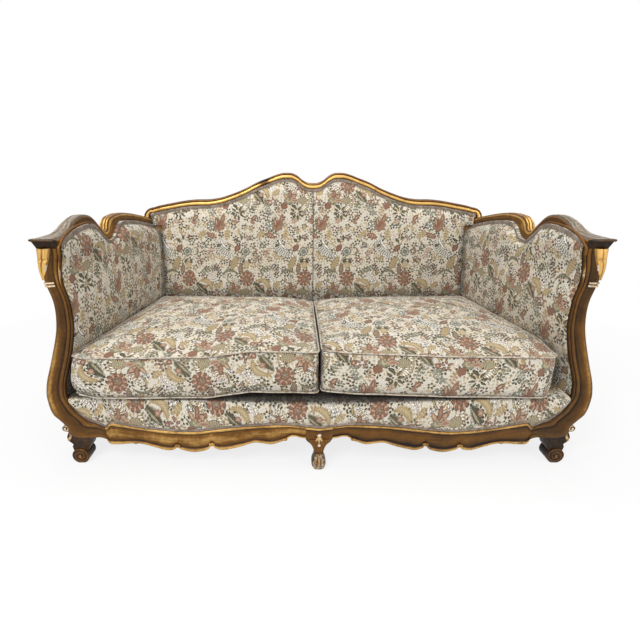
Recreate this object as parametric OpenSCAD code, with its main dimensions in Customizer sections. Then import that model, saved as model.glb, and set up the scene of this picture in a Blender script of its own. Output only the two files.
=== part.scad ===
// Cabriole sofa: a carved gilt frame with show-wood posts, arms, aprons and crest,
// a webbed and stuffed seat, padded arms and back, and two loose box cushions.
// X runs along the sofa, Y from front to back and Z up. Lengths are in millimetres.

/* [Overall] */
// Width over the knees of the two front posts
sofa_w = 1862; // [1600:1:2150]
// Depth from the front face of the corner posts to the back upholstery, at cushion height
seat_d = 735; // [660:1:820]
// Lean of the back from upright, in degrees
lean_angle = 10; // [7:0.5:13]

/* [Front posts] */
// Height of the posts, up to the joint under the arm rails
post_h = 775; // [755:1:790]
// Depth of the posts from front to back
post_d = 62; // [54:1:70]
// How far the outline of a post swings in from the knee to the waist
post_sweep_w = 90; // [70:1:104]
// Face width of a post at its widest plain stretch
post_w = 64; // [56:1:72]
// Width of a post at its knee, from the outside to the seam with the apron
knee_w = 186; // [170:1:205]
// Diameter of the scroll foot
scroll_d = 60; // [50:1:66]
// Diameter of the dowels between posts and arm rails
dowel_d = 10; // [8:0.5:12]
// Length of these dowels
dowel_len = 40; // [30:1:48]

/* [Arm rails] */
// Rise of the front hump of an arm rail above the post joint
arm_rise_h = 79; // [68:1:90]
// Width of an arm rail
arm_w = 38; // [32:1:42]
// How far the back stiles stand in from the knees of the posts
rear_inset_w = 131; // [110:1:150]

/* [Aprons] */
// How far the front rails bow forward in the middle
bow_d = 30; // [18:1:40]
// Height of the top edge of the apron at its highest, above the floor
apron_top_h = 178; // [170:1:184]
// Height of the hidden tongue of all seat rails, where the webbing is nailed
frame_top_h = 190; // [187:1:200]
// Thickness of the seat rails
rail_t = 40; // [34:1:46]
// Half the width of the block over the front centre leg
center_block_half_w = 46; // [40:1:52]
// Width of the plain inner members of the frame
inner_rail_w = 60; // [46:1:66]

/* [Back frame] */
// Rise of the two humps of the crest above its ends
hump_rise_h = 152; // [125:1:180]
// Rise of the ends of the crest above the posts, round its corners
corner_h = 47; // [42:1:54]
// Height of the whole section of the crest rail
crest_section_h = 60; // [50:1:66]
// Height of the gilt moulding along the edge of the back frame
moulding_h = 26; // [22:1:30]
// How far this moulding stands in front of the back upholstery line
moulding_proud_d = 8; // [6:0.5:10]
// Depth of the back frame behind the upholstery line
back_frame_d = 37; // [32:1:42]
// Depth of the rebate that takes webbing and hessian
rebate_d = 4; // [4:0.5:5]
// Width of the back stiles
stile_w = 43; // [38:1:48]
// How far under the seat deck the raked back bends into the upright legs
bend_drop_h = 20; // [12:1:34]
// How far the rear legs kick back at the floor
rear_kick_d = 62; // [40:1:75]

/* [Upholstery] */
// Thickness of the seat stuffing over the frame, up to the deck
stuffing_t = 80; // [74:1:88]
// Thickness of the back padding at its middle
back_pad_t = 34; // [28:1:40]
// Thickness of the arm padding where it meets the back
arm_pad_t = 46; // [40:1:50]
// Thickness of cover cloth, hessian and webbing
cloth_t = 1.5; // [1:0.1:1.6]
// Width of the webbing
web_w = 55; // [45:1:65]
// Width of the gimp braid
gimp_w = 12; // [10:0.5:14]

/* [Cushions] */
// Height of the box border of a cushion
cushion_t = 146; // [125:1:150]
// Rise of the crown of a cushion above its border
crown_h = 40; // [25:1:50]
// How far the cushions stand in front of the corner posts
cushion_proud_d = 18; // [8:1:24]
// Diameter of the piping cord
piping_d = 6; // [4:0.5:7]

/* [Fasteners] */
// Diameter of the shanks of the corner block screws
screw_d = 6; // [4:0.5:7]
// Length of the corner block screws
screw_len = 50; // [42:1:56]

/* [Hidden] */
$fn = 48;

// Finishes as the photograph shows them
gilt = [0.66, 0.50, 0.27];
beech = [0.72, 0.58, 0.42];
tapestry = [0.80, 0.76, 0.68];
jute = [0.62, 0.53, 0.40];
braid = [0.62, 0.57, 0.50];
dark_cloth = [0.18, 0.17, 0.16];
steel = [0.60, 0.61, 0.62];

// Clearances
gap = 0.3;
soft_gap = 0.6;
cushion_gap = 2;
overrun = 2;

// Derived sizes that several pieces share
half_w = sofa_w / 2;
seam_x = half_w - knee_w;
crest_end_h = post_h + corner_h;
crest_h = crest_end_h + hump_rise_h;
deck_h = frame_top_h + stuffing_t;
bend_h = deck_h - bend_drop_h;
stile_out = half_w - rear_inset_w;
crest_half = stile_out - stile_w;
cushion_top_h = deck_h + cushion_t + piping_d / 2;

// Functions that read tables and curves
function mix(a, b, t) = a + (b - a) * t;
function curve_point(p, s) =
    let (n = len(p) - 1, i = min(floor(s), n - 1), t = s - i)
    let (p0 = p[max(i - 1, 0)], p1 = p[i], p2 = p[i + 1], p3 = p[min(i + 2, n)])
    (2 * p1 + (p2 - p0) * t + (2 * p0 - 5 * p1 + 4 * p2 - p3) * t * t
        + (3 * p1 - p0 - 3 * p2 + p3) * t * t * t) / 2;
function curve(p, steps) = [for (k = [0:steps]) curve_point(p, k * (len(p) - 1) / steps)];
function swapped(p) = [for (q = p) [q[1], q[0]]];

// A closed skin over rings of equal length, its two ends closed on their middle points
function ring_middle(r) = [for (i = [0:2]) [for (p = r) p[i]] * [for (p = r) 1 / len(r)]];
function loft_points(rings, paired) = concat([for (r = rings, p = r) p],
    paired ? [] : [ring_middle(rings[0]), ring_middle(rings[len(rings) - 1])]);
// Closing faces of a ring made of two facing rows, such as a sheet: each point meets its twin
function paired_cap(m, start, turned) = [for (j = [0:m / 2 - 2])
    for (t = [[j, j + 1, m - 1 - j], [j + 1, m - 2 - j, m - 1 - j]])
        [for (k = turned ? [2, 1, 0] : [0, 1, 2]) start + t[k]]];
function loft_faces(n, m, flip, paired) =
    let (first = n * m, last = n * m + 1)
    let (f = concat(
        [for (i = [0:n - 2], j = [0:m - 1]) [i * m + j, i * m + (j + 1) % m, (i + 1) * m + j]],
        [for (i = [0:n - 2], j = [0:m - 1])
            [i * m + (j + 1) % m, (i + 1) * m + (j + 1) % m, (i + 1) * m + j]],
        paired ? paired_cap(m, 0, true) : [for (j = [0:m - 1]) [first, (j + 1) % m, j]],
        paired ? paired_cap(m, (n - 1) * m, false)
            : [for (j = [0:m - 1]) [last, (n - 1) * m + j, (n - 1) * m + (j + 1) % m]]))
    flip ? [for (t = f) [t[0], t[2], t[1]]] : f;
module loft(rings, flip = false, paired = false) {
    polyhedron(points = loft_points(rings, paired),
        faces = loft_faces(len(rings), len(rings[0]), flip, paired), convexity = 6);
}
module mirrored(side) {
    if (side < 0) mirror([1, 0, 0]) children();
    else children();
}

// Front line of the back upholstery at height z, upright below the bend
function lean_y(z) = seat_d + tan(lean_angle) * (max(z, bend_h) - cushion_top_h);
function frame_y(z) = lean_y(z) + rebate_d;
function frame_back_y(z) = lean_y(z) + back_frame_d;
stile_foot_d = back_frame_d + rebate_d;
back_rail_d = back_frame_d - 2 * rebate_d;
// Front faces of the layers over the back frame, and of the hessian that the padding lies on
function back_layer_y(z, layer) = frame_y(z) - layer * (cloth_t + gap);
function back_pad_y(z) = back_layer_y(z, 3) - gap;

// Outline of a front post, seen from the front. Upper rows: height, inward swing, width.
post_upper_share = [[1, 0.844, 1.03], [0.973, 0.833, 1.03], [0.917, 0.79, 0.94],
    [0.857, 0.856, 0.81], [0.794, 0.978, 0.78], [0.739, 0.989, 0.78], [0.677, 0.911, 0.86],
    [0.621, 0.778, 0.91], [0.552, 0.567, 0.98], [0.49, 0.367, 1], [0.434, 0.178, 1.015],
    [0.387, 0.06, 1.05], [0.338, 0, 1.13]];
// Lower rows: the outer edge and the inner edge, between the seam and the knee
post_lower_share = [[0.973, 0.782, 0.489, 0.832], [0.849, 0.66, 0.414, 0.763],
    [0.763, 0.573, 0.328, 0.702], [0.715, 0.427, 0.269, 0.672], [0.522, 0.374, 0.215, 0.656],
    [0.296, 0.382, 0.167, 0.641], [0.124, 0.393, 0.081, 0.603], [0, 0.359, 0, 0.576]];
knee_h = post_h * 0.338;
post_steps = 34;
post_outer_edge = curve(concat(
    [for (r = post_upper_share) [half_w - r[1] * post_sweep_w, r[0] * post_h]],
    [for (r = post_lower_share) [mix(seam_x, half_w, r[0]), r[1] * knee_h]]), post_steps);
post_inner_edge = curve(concat(
    [for (r = post_upper_share) [half_w - r[1] * post_sweep_w - r[2] * post_w, r[0] * post_h]],
    [for (r = post_lower_share) [mix(seam_x, half_w, r[2]), r[3] * knee_h]]), post_steps);
function post_outer(z) = lookup(z, swapped(post_outer_edge));
function post_inner(z) = lookup(z, swapped(post_inner_edge));
// Height of the inner edge where the post sweeps down to its seam
post_shelf = [for (p = post_inner_edge) if (p[1] <= knee_h) p];
// Section of a post: across its face, then from front to back. Beads run along both edges.
post_section_share = [[-1, 0.16], [-0.95, 0.04], [-0.82, 0], [-0.68, 0.04], [-0.6, 0.12],
    [0.6, 0.12], [0.68, 0.04], [0.82, 0], [0.95, 0.04], [1, 0.16], [1, 0.94], [0.94, 1],
    [-0.94, 1], [-1, 0.94]];
function post_ring(o, i) = [for (s = post_section_share)
    [mix(o[0], i[0], (s[0] + 1) / 2), s[1] * post_d, mix(o[1], i[1], (s[0] + 1) / 2)]];

// Edges of an arm rail, seen from the side: run and rise of the top, then of the underside
arm_share = [[-0.005, 0.392, -0.005, 0], [0.083, 0.456, 0.083, 0], [0.123, 0.6, 0.135, 0.12],
    [0.169, 0.848, 0.183, 0.468], [0.238, 1, 0.242, 0.62], [0.313, 0.886, 0.301, 0.506],
    [0.37, 0.468, 0.345, 0.127], [0.416, 0.076, 0.408, -0.316], [0.443, 0.127, 0.461, -0.316],
    [0.455, 0.392, 0.491, -0.089], [0.485, 0.608, 0.517, 0.165], [0.539, 0.684, 0.552, 0.304],
    [0.608, 0.696, 0.608, 0.316], [0.715, 0.57, 0.712, 0.19], [0.853, 0.304, 0.849, -0.076]];
arm_end_share = [-0.04, -0.42];
arm_run = lean_y(post_h);
arm_steps = 34;
arm_top_edge = curve(concat([for (r = arm_share) [r[0] * arm_run, post_h + r[1] * arm_rise_h]],
    [let (z = post_h + arm_end_share[0] * arm_rise_h) [frame_y(z), z]]), arm_steps);
arm_low_edge = [for (p = curve(concat(
    [for (r = arm_share) [r[2] * arm_run, post_h + r[3] * arm_rise_h]],
    [let (z = post_h + arm_end_share[1] * arm_rise_h) [frame_y(z), z]]), arm_steps))
    [p[0], p[0] < post_d + overrun ? max(p[1], post_h) : p[1]]];
function arm_low(y) = lookup(y, arm_low_edge);
// Middle line of an arm rail in plan, and the wide nose over the post
arm_front_x = half_w - post_upper_share[0][1] * post_sweep_w - post_w / 2;
arm_rear_x = stile_out - stile_w / 2;
nose_w = post_w * 1.28;
nose_out = post_w * 0.13;
nose_share = [[-0.01, 1], [0.02, 0.95], [0.08, 0.55], [0.16, 0.1], [0.24, 0], [1, 0]];
function nose(y) = lookup(y / arm_run, nose_share);
function arm_x(y) = mix(arm_front_x, arm_rear_x, y / arm_run) + nose(y) * nose_out;
function arm_width(y) = mix(arm_w, nose_w, nose(y));
// Section of an arm rail: height from top to underside, then across from inside to outside
arm_section_share = [[1, 0.06], [0.45, 0], [0.2, 0.04], [0.03, 0.14], [0.1, 0.28], [0, 0.4],
    [0, 0.6], [0.1, 0.72], [0.03, 0.86], [0.2, 0.96], [0.45, 1], [1, 0.94]];
function arm_ring(t, b) = [for (s = arm_section_share)
    let (y = mix(t[0], b[0], s[0]), z = mix(t[1], b[1], s[0]))
    [arm_x(t[0]) + (s[1] - 0.5) * arm_width(t[0]), y, z]];

// Edges of an apron: place along the rail, then height
apron_top_share = [[0, 0.927], [0.089, 0.972], [0.161, 1], [0.271, 0.978], [0.4, 0.921],
    [0.55, 0.826], [0.639, 0.803], [0.728, 0.82], [0.831, 0.86], [0.923, 0.916], [0.966, 0.944],
    [0.98, 0.92], [0.992, 0.843], [1, 0.848]];
apron_low_share = [[0, 0.68], [0.079, 0.708], [0.106, 0.742], [0.134, 0.73], [0.157, 0.652],
    [0.176, 0.618], [0.22, 0.556], [0.264, 0.579], [0.305, 0.584], [0.372, 0.483],
    [0.446, 0.404], [0.485, 0.438], [0.499, 0.5], [0.525, 0.399], [0.588, 0.337], [0.648, 0.388],
    [0.663, 0.444], [0.682, 0.382], [0.721, 0.36], [0.777, 0.427], [0.836, 0.489],
    [0.89, 0.483], [0.94, 0.455], [0.983, 0.449], [1, 0.528]];
apron_steps = 48;
function apron_scaled(t) = [for (r = t) [r[0] * seam_x, r[1] * apron_top_h]];
apron_top_edge = curve(apron_scaled(apron_top_share), apron_steps);
apron_low_edge = curve(apron_scaled(apron_low_share), apron_steps);
function apron_top(x) = lookup(x, apron_top_edge);
function apron_low(x) = lookup(x, apron_low_edge);
function bow(x) = -bow_d * (1 - pow(min(x / seam_x, 1), 2));
// Section of an apron: height from top to bottom edge, then depth in shares of the lip
apron_lip = rail_t * 0.4;
apron_section_share = [[0, 0.2], [0.05, 0], [0.14, 0], [0.2, 0.25], [0.8, 0.3], [0.86, 0],
    [0.95, 0], [1, 0.25]];
function apron_ring(x, top, low) = concat(
    [for (s = apron_section_share) [x, bow(x) + s[1] * apron_lip, mix(top, low, s[0])]],
    [[x, bow(x) + rail_t, low], [x, bow(x) + rail_t, frame_top_h],
        [x, bow(x) + apron_lip, frame_top_h], [x, bow(x) + apron_lip, top]]);

// Edge of the crest: place from the middle to the end, then rise from the end to the humps
crest_share = [[0, 0.704], [0.044, 0.776], [0.082, 0.888], [0.119, 0.993], [0.156, 1],
    [0.194, 0.993], [0.27, 0.875], [0.345, 0.73], [0.421, 0.546], [0.498, 0.395],
    [0.576, 0.276], [0.647, 0.224], [0.727, 0.217], [0.806, 0.184], [0.885, 0.13],
    [0.964, 0.07], [1, 0]];
crest_steps = 20;
crest_edge = curve([for (r = crest_share)
    [r[0] * crest_half, mix(crest_end_h, crest_h, r[1])]], crest_steps);
function crest_top(x) = lookup(x, crest_edge);
// Section of the moulding: distance from the edge, then how far it stands forward
moulding_share = [[0, -1.5], [0.05, 0.45], [0.2, 0.9], [0.32, 0.68], [0.42, 0.96], [0.62, 1],
    [0.84, 0.86], [1, 0.4]];
function crest_ring(x, top) = concat(
    [for (m = moulding_share) let (z = top - m[0] * moulding_h)
        [x, lean_y(z) - m[1] * moulding_proud_d, z]],
    [for (d = [moulding_h, crest_section_h]) [x, frame_y(top - d), top - d]],
    [for (d = [crest_section_h, moulding_h])
        [x, frame_back_y(top - d) - rebate_d, top - d]],
    [for (d = [moulding_h, rebate_d]) [x, frame_back_y(top - d), top - d]],
    [[x, frame_back_y(top) - rebate_d, top]]);
crest_rings = [for (p = crest_edge) crest_ring(p[0], p[1])];
// The moulding turns down round the corner on the stile: outer edge, then inner edge
corner_share = [[0, 1, 0, 1], [0.4, 0.9, 0.22, 0.92], [0.7, 0.68, 0.34, 0.8], [0.92, 0.4, 0.4, 0.4],
    [1, 0.02, 0.4, 0.02]];
function corner_point(a, b) = [crest_half + a * stile_w, post_h + b * corner_h];
corner_outer = [for (r = corner_share) corner_point(r[0], r[1])];
corner_inner = [for (r = corner_share) corner_point(r[2], r[3]) - [0, r[3] * moulding_h]];
function corner_ring(o, i) = concat(
    [for (m = moulding_share) let (x = mix(o[0], i[0], m[0]), z = mix(o[1], i[1], m[0]))
        [x, lean_y(z) - m[1] * moulding_proud_d, z]],
    [for (m = [1, 0]) let (x = mix(o[0], i[0], m), z = mix(o[1], i[1], m))
        [x, frame_back_y(z) - rebate_d, z]]);

// The box of the whole sofa is centred on X and Y, and stands on the floor
toe_proud = scroll_d * 0.1;
front_y = -bow_d - toe_proud;
rear_y = max([for (r = crest_rings, p = r) p[1]]);
center_y = (front_y + rear_y) / 2;
module placed() {
    translate([0, -center_y, 0]) children();
}

// Profile seen from the side, given thickness along X and centred on x
module side_profile(points, x, w) {
    translate([x + w / 2, 0, 0]) rotate([0, -90, 0]) linear_extrude(w) polygon(swapped(points));
}
// Profile seen from the front, given depth along Y from y
module front_profile(points, y, d) {
    translate([0, y + d, 0]) rotate([90, 0, 0]) linear_extrude(d) polygon(points);
}

// Frame: crest, stiles and the inner members of the back
module crest_rail() color(gilt) placed() {
    half = [for (i = [len(crest_rings) - 1:-1:1]) [for (p = crest_rings[i]) [-p[0], p[1], p[2]]]];
    loft(concat(half, crest_rings), flip = true);
}
module back_stile(side) color(gilt) placed() mirrored(side) {
    seat_back = lean_y(0) + rebate_d + stile_foot_d;
    top = post_h + corner_h * 0.1;
    side_profile([[frame_y(top), top], [frame_y(bend_h), bend_h],
        [frame_y(0), bend_h * 0.4], [frame_y(0) + rear_kick_d, 0],
        [seat_back + rear_kick_d, 0], [seat_back + rear_kick_d * 0.36, bend_h * 0.3],
        [seat_back, bend_h * 0.7], [frame_back_y(bend_h * 1.8) - rebate_d, bend_h * 1.8],
        [frame_back_y(top), top]], crest_half + stile_w / 2, stile_w);
    loft([for (k = [0:len(corner_outer) - 1]) corner_ring(corner_outer[k], corner_inner[k])],
        flip = true);
}
module back_center_upright() color(beech) placed() {
    top = crest_top(0) - crest_section_h - gap;
    low = bend_h + inner_rail_w + gap;
    side_profile([[frame_y(top), top], [frame_y(low), low], [frame_back_y(low) - rebate_d, low],
        [frame_back_y(top) - rebate_d, top]], 0, inner_rail_w);
}
module back_lower_rail() color(beech) placed() {
    side_profile([[frame_y(bend_h), bend_h],
        [frame_y(bend_h + inner_rail_w), bend_h + inner_rail_w],
        [frame_back_y(bend_h + inner_rail_w) - rebate_d, bend_h + inner_rail_w],
        [frame_back_y(bend_h) - rebate_d, bend_h]], 0, 2 * crest_half);
}
back_rail_low = bend_h * 0.44;
module back_seat_rail() color(gilt) placed() {
    translate([-crest_half, frame_y(0), back_rail_low])
        cube([2 * crest_half, back_rail_d, frame_top_h - back_rail_low]);
}
module rear_center_leg() color(gilt) placed() {
    top = back_rail_low - gap;
    side_profile([[frame_y(0), top], [frame_y(0) + rear_kick_d * 0.7, 0],
        [frame_y(0) + rear_kick_d * 0.7 + rail_t, 0], [frame_y(0) + rail_t, top]], 0, stile_w);
}

// Frame: arm rails, front posts with scroll feet, and their dowels
dowel_x = arm_front_x;
dowel_y = post_d / 2;
module dowel_bore(d, l) {
    translate([dowel_x, dowel_y, post_h - l / 2]) cylinder(d = d, h = l);
}
module arm_rail(side) color(gilt) placed() mirrored(side) difference() {
    loft([for (k = [0:arm_steps]) arm_ring(arm_top_edge[k], arm_low_edge[k])], flip = true);
    dowel_bore(dowel_d + gap, dowel_len + overrun);
}
scroll_r = scroll_d / 2;
scroll_flat = scroll_r * 0.06;
foot_x = half_w - scroll_d * 1.32;
foot_h = knee_h * 0.43;
foot_front = post_d * 0.06;
// Stem of the foot, seen from the front: across from the scroll, then height
stem_share = [[-0.72, 1.1], [-0.7, 0.74], [-0.62, 0.55], [-0.36, 0.42], [0.2, 0.3], [0.4, 0.56],
    [0.34, 0.68], [0.55, 0.8], [0.62, 0.94], [0.5, 1.1]];
ear_share = [[0.52, 1.22, 0.22], [0.46, 0.86, 0.17]];
module scroll_foot() {
    difference() {
        union() {
            translate([foot_x, post_d * 0.94, scroll_r - scroll_flat]) rotate([90, 0, 0])
                cylinder(r = scroll_r, h = post_d * 0.88);
            front_profile([for (s = stem_share) [foot_x + s[0] * scroll_d, s[1] * foot_h]],
                foot_front * 2, post_d - foot_front * 4);
            for (e = ear_share) translate([foot_x + e[0] * scroll_d, post_d * 0.7, e[1] * foot_h])
                rotate([90, 0, 0]) cylinder(d = e[2] * scroll_d * 2, h = post_d * 0.6);
        }
        translate([foot_x - scroll_d, -overrun, -scroll_d])
            cube([2 * scroll_d, post_d + 2 * overrun, scroll_d]);
        translate([foot_x, post_d * 0.06, scroll_r - scroll_flat]) rotate([90, 0, 0])
            difference() {
                cylinder(r = scroll_r * 0.78, h = post_d * 0.1, center = true);
                cylinder(r = scroll_r * 0.5, h = post_d * 0.2, center = true);
            }
    }
}
module front_post(side) color(gilt) placed() mirrored(side) {
    difference() {
        loft([for (k = [0:post_steps]) post_ring(post_outer_edge[k], post_inner_edge[k])],
            flip = true);
        dowel_bore(dowel_d + gap, dowel_len + overrun);
    }
    scroll_foot();
}
module arm_dowels() color(beech) placed() {
    for (side = [-1, 1]) mirrored(side) dowel_bore(dowel_d, dowel_len);
}

// Frame: aprons, centre leg, side rails and the inner members of the seat
module front_rail(side) color(gilt) placed() mirrored(side) {
    inner = [for (p = apron_low_edge) if (p[0] > center_block_half_w + overrun) p];
    loft(concat([apron_ring(center_block_half_w, apron_top(center_block_half_w),
        apron_low(center_block_half_w))],
        [for (p = inner) apron_ring(p[0], apron_top(p[0]), p[1])]), flip = true);
}
// Front centre leg: height, half width, how far the toe stands forward, and its depth
leg_share = [[1, 0.97, 0, 1], [0.9, 0.9, 0, 1], [0.8, 0.62, 0.1, 1], [0.68, 0.44, 0.4, 0.95],
    [0.54, 0.36, 0.5, 0.9], [0.4, 0.4, 0.6, 0.85], [0.28, 0.5, 0.9, 0.9], [0.16, 0.54, 1, 0.95],
    [0.06, 0.48, 0.95, 0.95], [0, 0.36, 0.7, 0.9]];
round_share = [[-1, 0.25], [-0.75, 0.04], [-0.3, 0], [0.3, 0], [0.75, 0.04], [1, 0.25], [1, 0.8],
    [0.8, 1], [-0.8, 1], [-1, 0.8]];
center_leg_h = apron_top_h * 0.68;
module front_center_leg() color(gilt) placed() {
    loft([for (r = leg_share) let (front = -bow_d - r[2] * toe_proud)
        [for (s = round_share) [s[0] * r[1] * center_block_half_w,
            mix(front, -bow_d + r[3] * rail_t, s[1]), r[0] * center_leg_h]]]);
    translate([-center_block_half_w, -bow_d, center_leg_h])
        cube([2 * center_block_half_w, apron_lip, apron_top(0) - center_leg_h]);
    translate([-center_block_half_w, -bow_d + apron_lip, center_leg_h])
        cube([2 * center_block_half_w, rail_t - apron_lip, frame_top_h - center_leg_h]);
}
side_low_share = [[0, 0.66], [0.12, 0.52], [0.26, 0.56], [0.4, 0.44], [0.48, 0.5], [0.52, 0.5],
    [0.6, 0.44], [0.74, 0.56], [0.88, 0.52], [1, 0.62]];
side_steps = 18;
side_front_x = half_w - post_sweep_w * 0.48;
side_rear_y = frame_y(0);
function side_out(y) = mix(side_front_x, stile_out, (y - post_d) / (side_rear_y - post_d));
module side_rail(side) color(gilt) placed() mirrored(side) difference() {
    side_rail_shape();
    for (front = [true, false]) screw_at(front, screw_d + gap, -overrun, screw_grip + overrun);
}
module side_rail_shape() {
    low = curve([for (r = side_low_share)
        [mix(post_d, side_rear_y, r[0]), r[1] * apron_top_h]], side_steps);
    top = apron_top_h * 0.9;
    loft([for (p = low) let (x = side_out(p[0])) concat(
        [for (s = apron_section_share) [x - s[1] * apron_lip / 2, p[0], mix(top, p[1], s[0])]],
        [[x - rail_t, p[0], p[1]], [x - rail_t, p[0], frame_top_h],
            [x - apron_lip, p[0], frame_top_h], [x - apron_lip, p[0], top]])], flip = true);
}
module seat_cross_rail(side) color(beech) placed() {
    x = side * crest_half / 2;
    y = bow(abs(x) + inner_rail_w / 2) + rail_t + gap;
    translate([x - inner_rail_w / 2, y, frame_top_h - inner_rail_w])
        cube([inner_rail_w, frame_y(0) - gap - y, inner_rail_w]);
}
block_leg = inner_rail_w * 1.3;
block_z = frame_top_h - inner_rail_w;
side_slope = (side_front_x - stile_out) / (side_rear_y - post_d);
// A corner block fills the corner of a side rail with a front post or with the back rail
function block_y(front) = front ? post_d + gap : frame_y(0) - gap;
function block_x(front) = side_out(block_y(front)) - rail_t - gap;
function block_turn(front) = front ? 1 : -1;
screw_place = block_leg * 0.4;
screw_grip = screw_len * 0.3;
module screw_at(front, d, from, to) {
    y = block_y(front) + block_turn(front) * screw_place;
    x = side_out(y) - rail_t;
    translate([x + from, y, block_z + inner_rail_w / 2]) rotate([0, 90, 0])
        cylinder(d = d, h = to - from);
}
module corner_blocks() color(beech) placed() {
    for (side = [-1, 1], front = [true, false]) mirrored(side) difference() {
        translate([block_x(front), block_y(front), block_z]) linear_extrude(inner_rail_w - gap)
            polygon([for (p = [[0, 0], [-1, 0], [-side_slope * block_turn(front), 1]])
                block_leg * [p[0], p[1] * block_turn(front)]]);
        screw_at(front, screw_d + gap, -block_leg, overrun);
    }
}
module corner_block_screws() color(steel) placed() {
    for (side = [-1, 1], front = [true, false])
        mirrored(side) screw_at(front, screw_d, screw_grip - screw_len, screw_grip);
}
module arm_tacking_rail(side) color(beech) placed() mirrored(side) {
    low = deck_h - rail_t;
    front_x = post_inner(deck_h) - gap;
    translate([0, 0, low]) linear_extrude(rail_t - gap) polygon([[front_x, post_d],
        [front_x - rail_t * 0.6, post_d], [crest_half + gap, frame_y(deck_h - rail_t)],
        [crest_half + rail_t * 0.6, frame_y(deck_h - rail_t)]]);
}

// Seat: webbing, hessian, deck, front border and dust cover
web_z = frame_top_h + gap;
layer_h = cloth_t + gap;
deck_low = web_z + 3 * layer_h;
web_pitch = web_w * 1.7;
function web_count(length) = floor(length / web_pitch);
function web_place(i, n) = (i - (n - 1) / 2) * web_pitch;
function seat_side_x(y) = side_out(y) - apron_lip - overrun;
seat_rear_y = frame_y(0) + back_rail_d * 0.7;
module seat_webbing() color(jute) placed() {
    nx = web_count(2 * (crest_half - web_w / 2));
    for (i = [0:nx - 1]) let (x = web_place(i, nx), y = bow(x) + apron_lip + overrun)
        translate([x - web_w / 2, y, web_z]) cube([web_w, seat_rear_y - y, cloth_t]);
    ny = web_count(frame_y(0) - post_d);
    middle = (post_d + frame_y(0)) / 2;
    for (i = [0:ny - 1]) let (y = middle + web_place(i, ny), x = seat_side_x(y + web_w / 2))
        translate([-x, y - web_w / 2, web_z + layer_h]) cube([2 * x, web_w, cloth_t]);
}
// Plan of the seat cloth: between the posts, over the side rails and on to the back rail
function seat_plan_half() = [[seam_x - rail_t, rail_t / 2], [seam_x - rail_t, post_d + gap],
    [seat_side_x(post_d), post_d + gap], [seat_side_x(frame_y(0)), frame_y(0) - gap],
    [crest_half - gap, frame_y(0) - gap], [crest_half - gap, seat_rear_y]];
function both_sides(p) = concat(p, [for (i = [len(p) - 1:-1:0]) [-p[i][0], p[i][1]]]);
module seat_hessian() color(jute) placed() {
    translate([0, 0, web_z + 2 * layer_h]) linear_extrude(cloth_t)
        polygon(both_sides(seat_plan_half()));
}
function tacking_x(y) = mix(post_inner(deck_h) - gap - rail_t * 0.6, crest_half + gap,
    (y - post_d) / (frame_y(deck_h - rail_t) - post_d));
module seat_deck() color(tapestry) placed() {
    front = post_d + soft_gap;
    rear = frame_y(deck_low) - gap;
    translate([0, 0, deck_low]) linear_extrude(deck_h - deck_low) polygon(both_sides(
        [[tacking_x(front) - soft_gap, front], [tacking_x(rear) - soft_gap - gap, rear]]));
}
// Front border: a stuffed roll over the aprons, its ends on the sweep of the posts
border_end_x = post_inner(deck_h) - post_w * 0.14;
border_edge = moulding_proud_d * 0.3;
border_share = [[0, 0.16], [0.13, 0.16], [0.22, -0.12], [0.5, -0.25], [0.8, -0.1], [0.95, 0.25],
    [1, 0.8]];
border_stations = concat([for (r = apron_top_share) r[0] * seam_x],
    [for (k = [0:6]) mix(seam_x + soft_gap, border_end_x, k / 6)]);
function border_low(x) = (x <= seam_x ? apron_top(x) : lookup(x, post_shelf)) + 2 * soft_gap;
function border_y(x, share) = bow(x) + share * apron_lip;
function border_ring(x) = let (a = abs(x), low = border_low(a), step = a <= seam_x)
    concat([for (s = border_share) [x, border_y(a, s[1]), mix(low, deck_h, s[0])]],
        [[x, post_d, deck_h], [x, post_d, step ? deck_low : low + gap],
            [x, bow(a) + apron_lip - soft_gap, step ? deck_low : low]]);
module seat_front_border() color(tapestry) placed() {
    loft([for (x = mirror_list(border_stations)) border_ring(x)]);
}
module border_gimp() color(braid) placed() {
    t = cloth_t + gap;
    reach = [for (x = border_stations) if (x < border_end_x) x];
    loft([for (x = mirror_list(reach)) let (a = abs(x), low = border_low(a) + gap)
        let (y = border_y(a, border_share[0][1]) - gap)
        [[x, y, low], [x, y - t, low], [x, y - t, low + gimp_w * 0.7], [x, y, low + gimp_w * 0.7]]]);
}
module dust_cover() color(dark_cloth) placed() {
    n = 8;
    front = [for (k = [0:n]) let (x = seam_x * k / n) [x, bow(x) + rail_t + gap]];
    rear = [[side_out(frame_y(0)) - rail_t - gap, frame_y(0) - gap]];
    side = [[side_out(post_d) - rail_t - gap, post_d + gap], [seam_x, post_d + gap]];
    outline = concat(front, [side[1], side[0]], rear);
    translate([0, 0, frame_top_h - inner_rail_w - layer_h]) linear_extrude(cloth_t)
        polygon(both_sides(outline));
}

// Back: webbing, hessian, two padded panels, outside cover and gimp
back_lap = max(stile_w - arm_w, 0) / 4;
back_lap_z = bend_h + inner_rail_w / 2;
module back_webbing() color(jute) placed() {
    n = web_count(2 * (crest_half - web_w / 2));
    for (i = [0:n - 1]) let (x = web_place(i, n))
        let (ends = [crest_top(abs(x) - web_w / 2), crest_top(abs(x) + web_w / 2)])
        let (top = min(ends) - moulding_h * 1.5)
        side_profile([for (q = [[1, back_lap_z], [1, top], [0, top], [0, back_lap_z]])
            [back_layer_y(q[1], q[0]) - (q[0] < 1 ? gap : 0), q[1]]], x, web_w);
    for (k = [1:4]) let (z = mix(bend_h + inner_rail_w, crest_end_h - moulding_h, k / 4.4))
        side_profile([for (q = [[2, z - web_w / 2], [2, z + web_w / 2], [1, z + web_w / 2],
            [1, z - web_w / 2]]) [back_layer_y(q[1], q[0]) - (q[0] < 2 ? gap : 0), q[1]]],
            0, 2 * (crest_half + back_lap));
}
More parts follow.
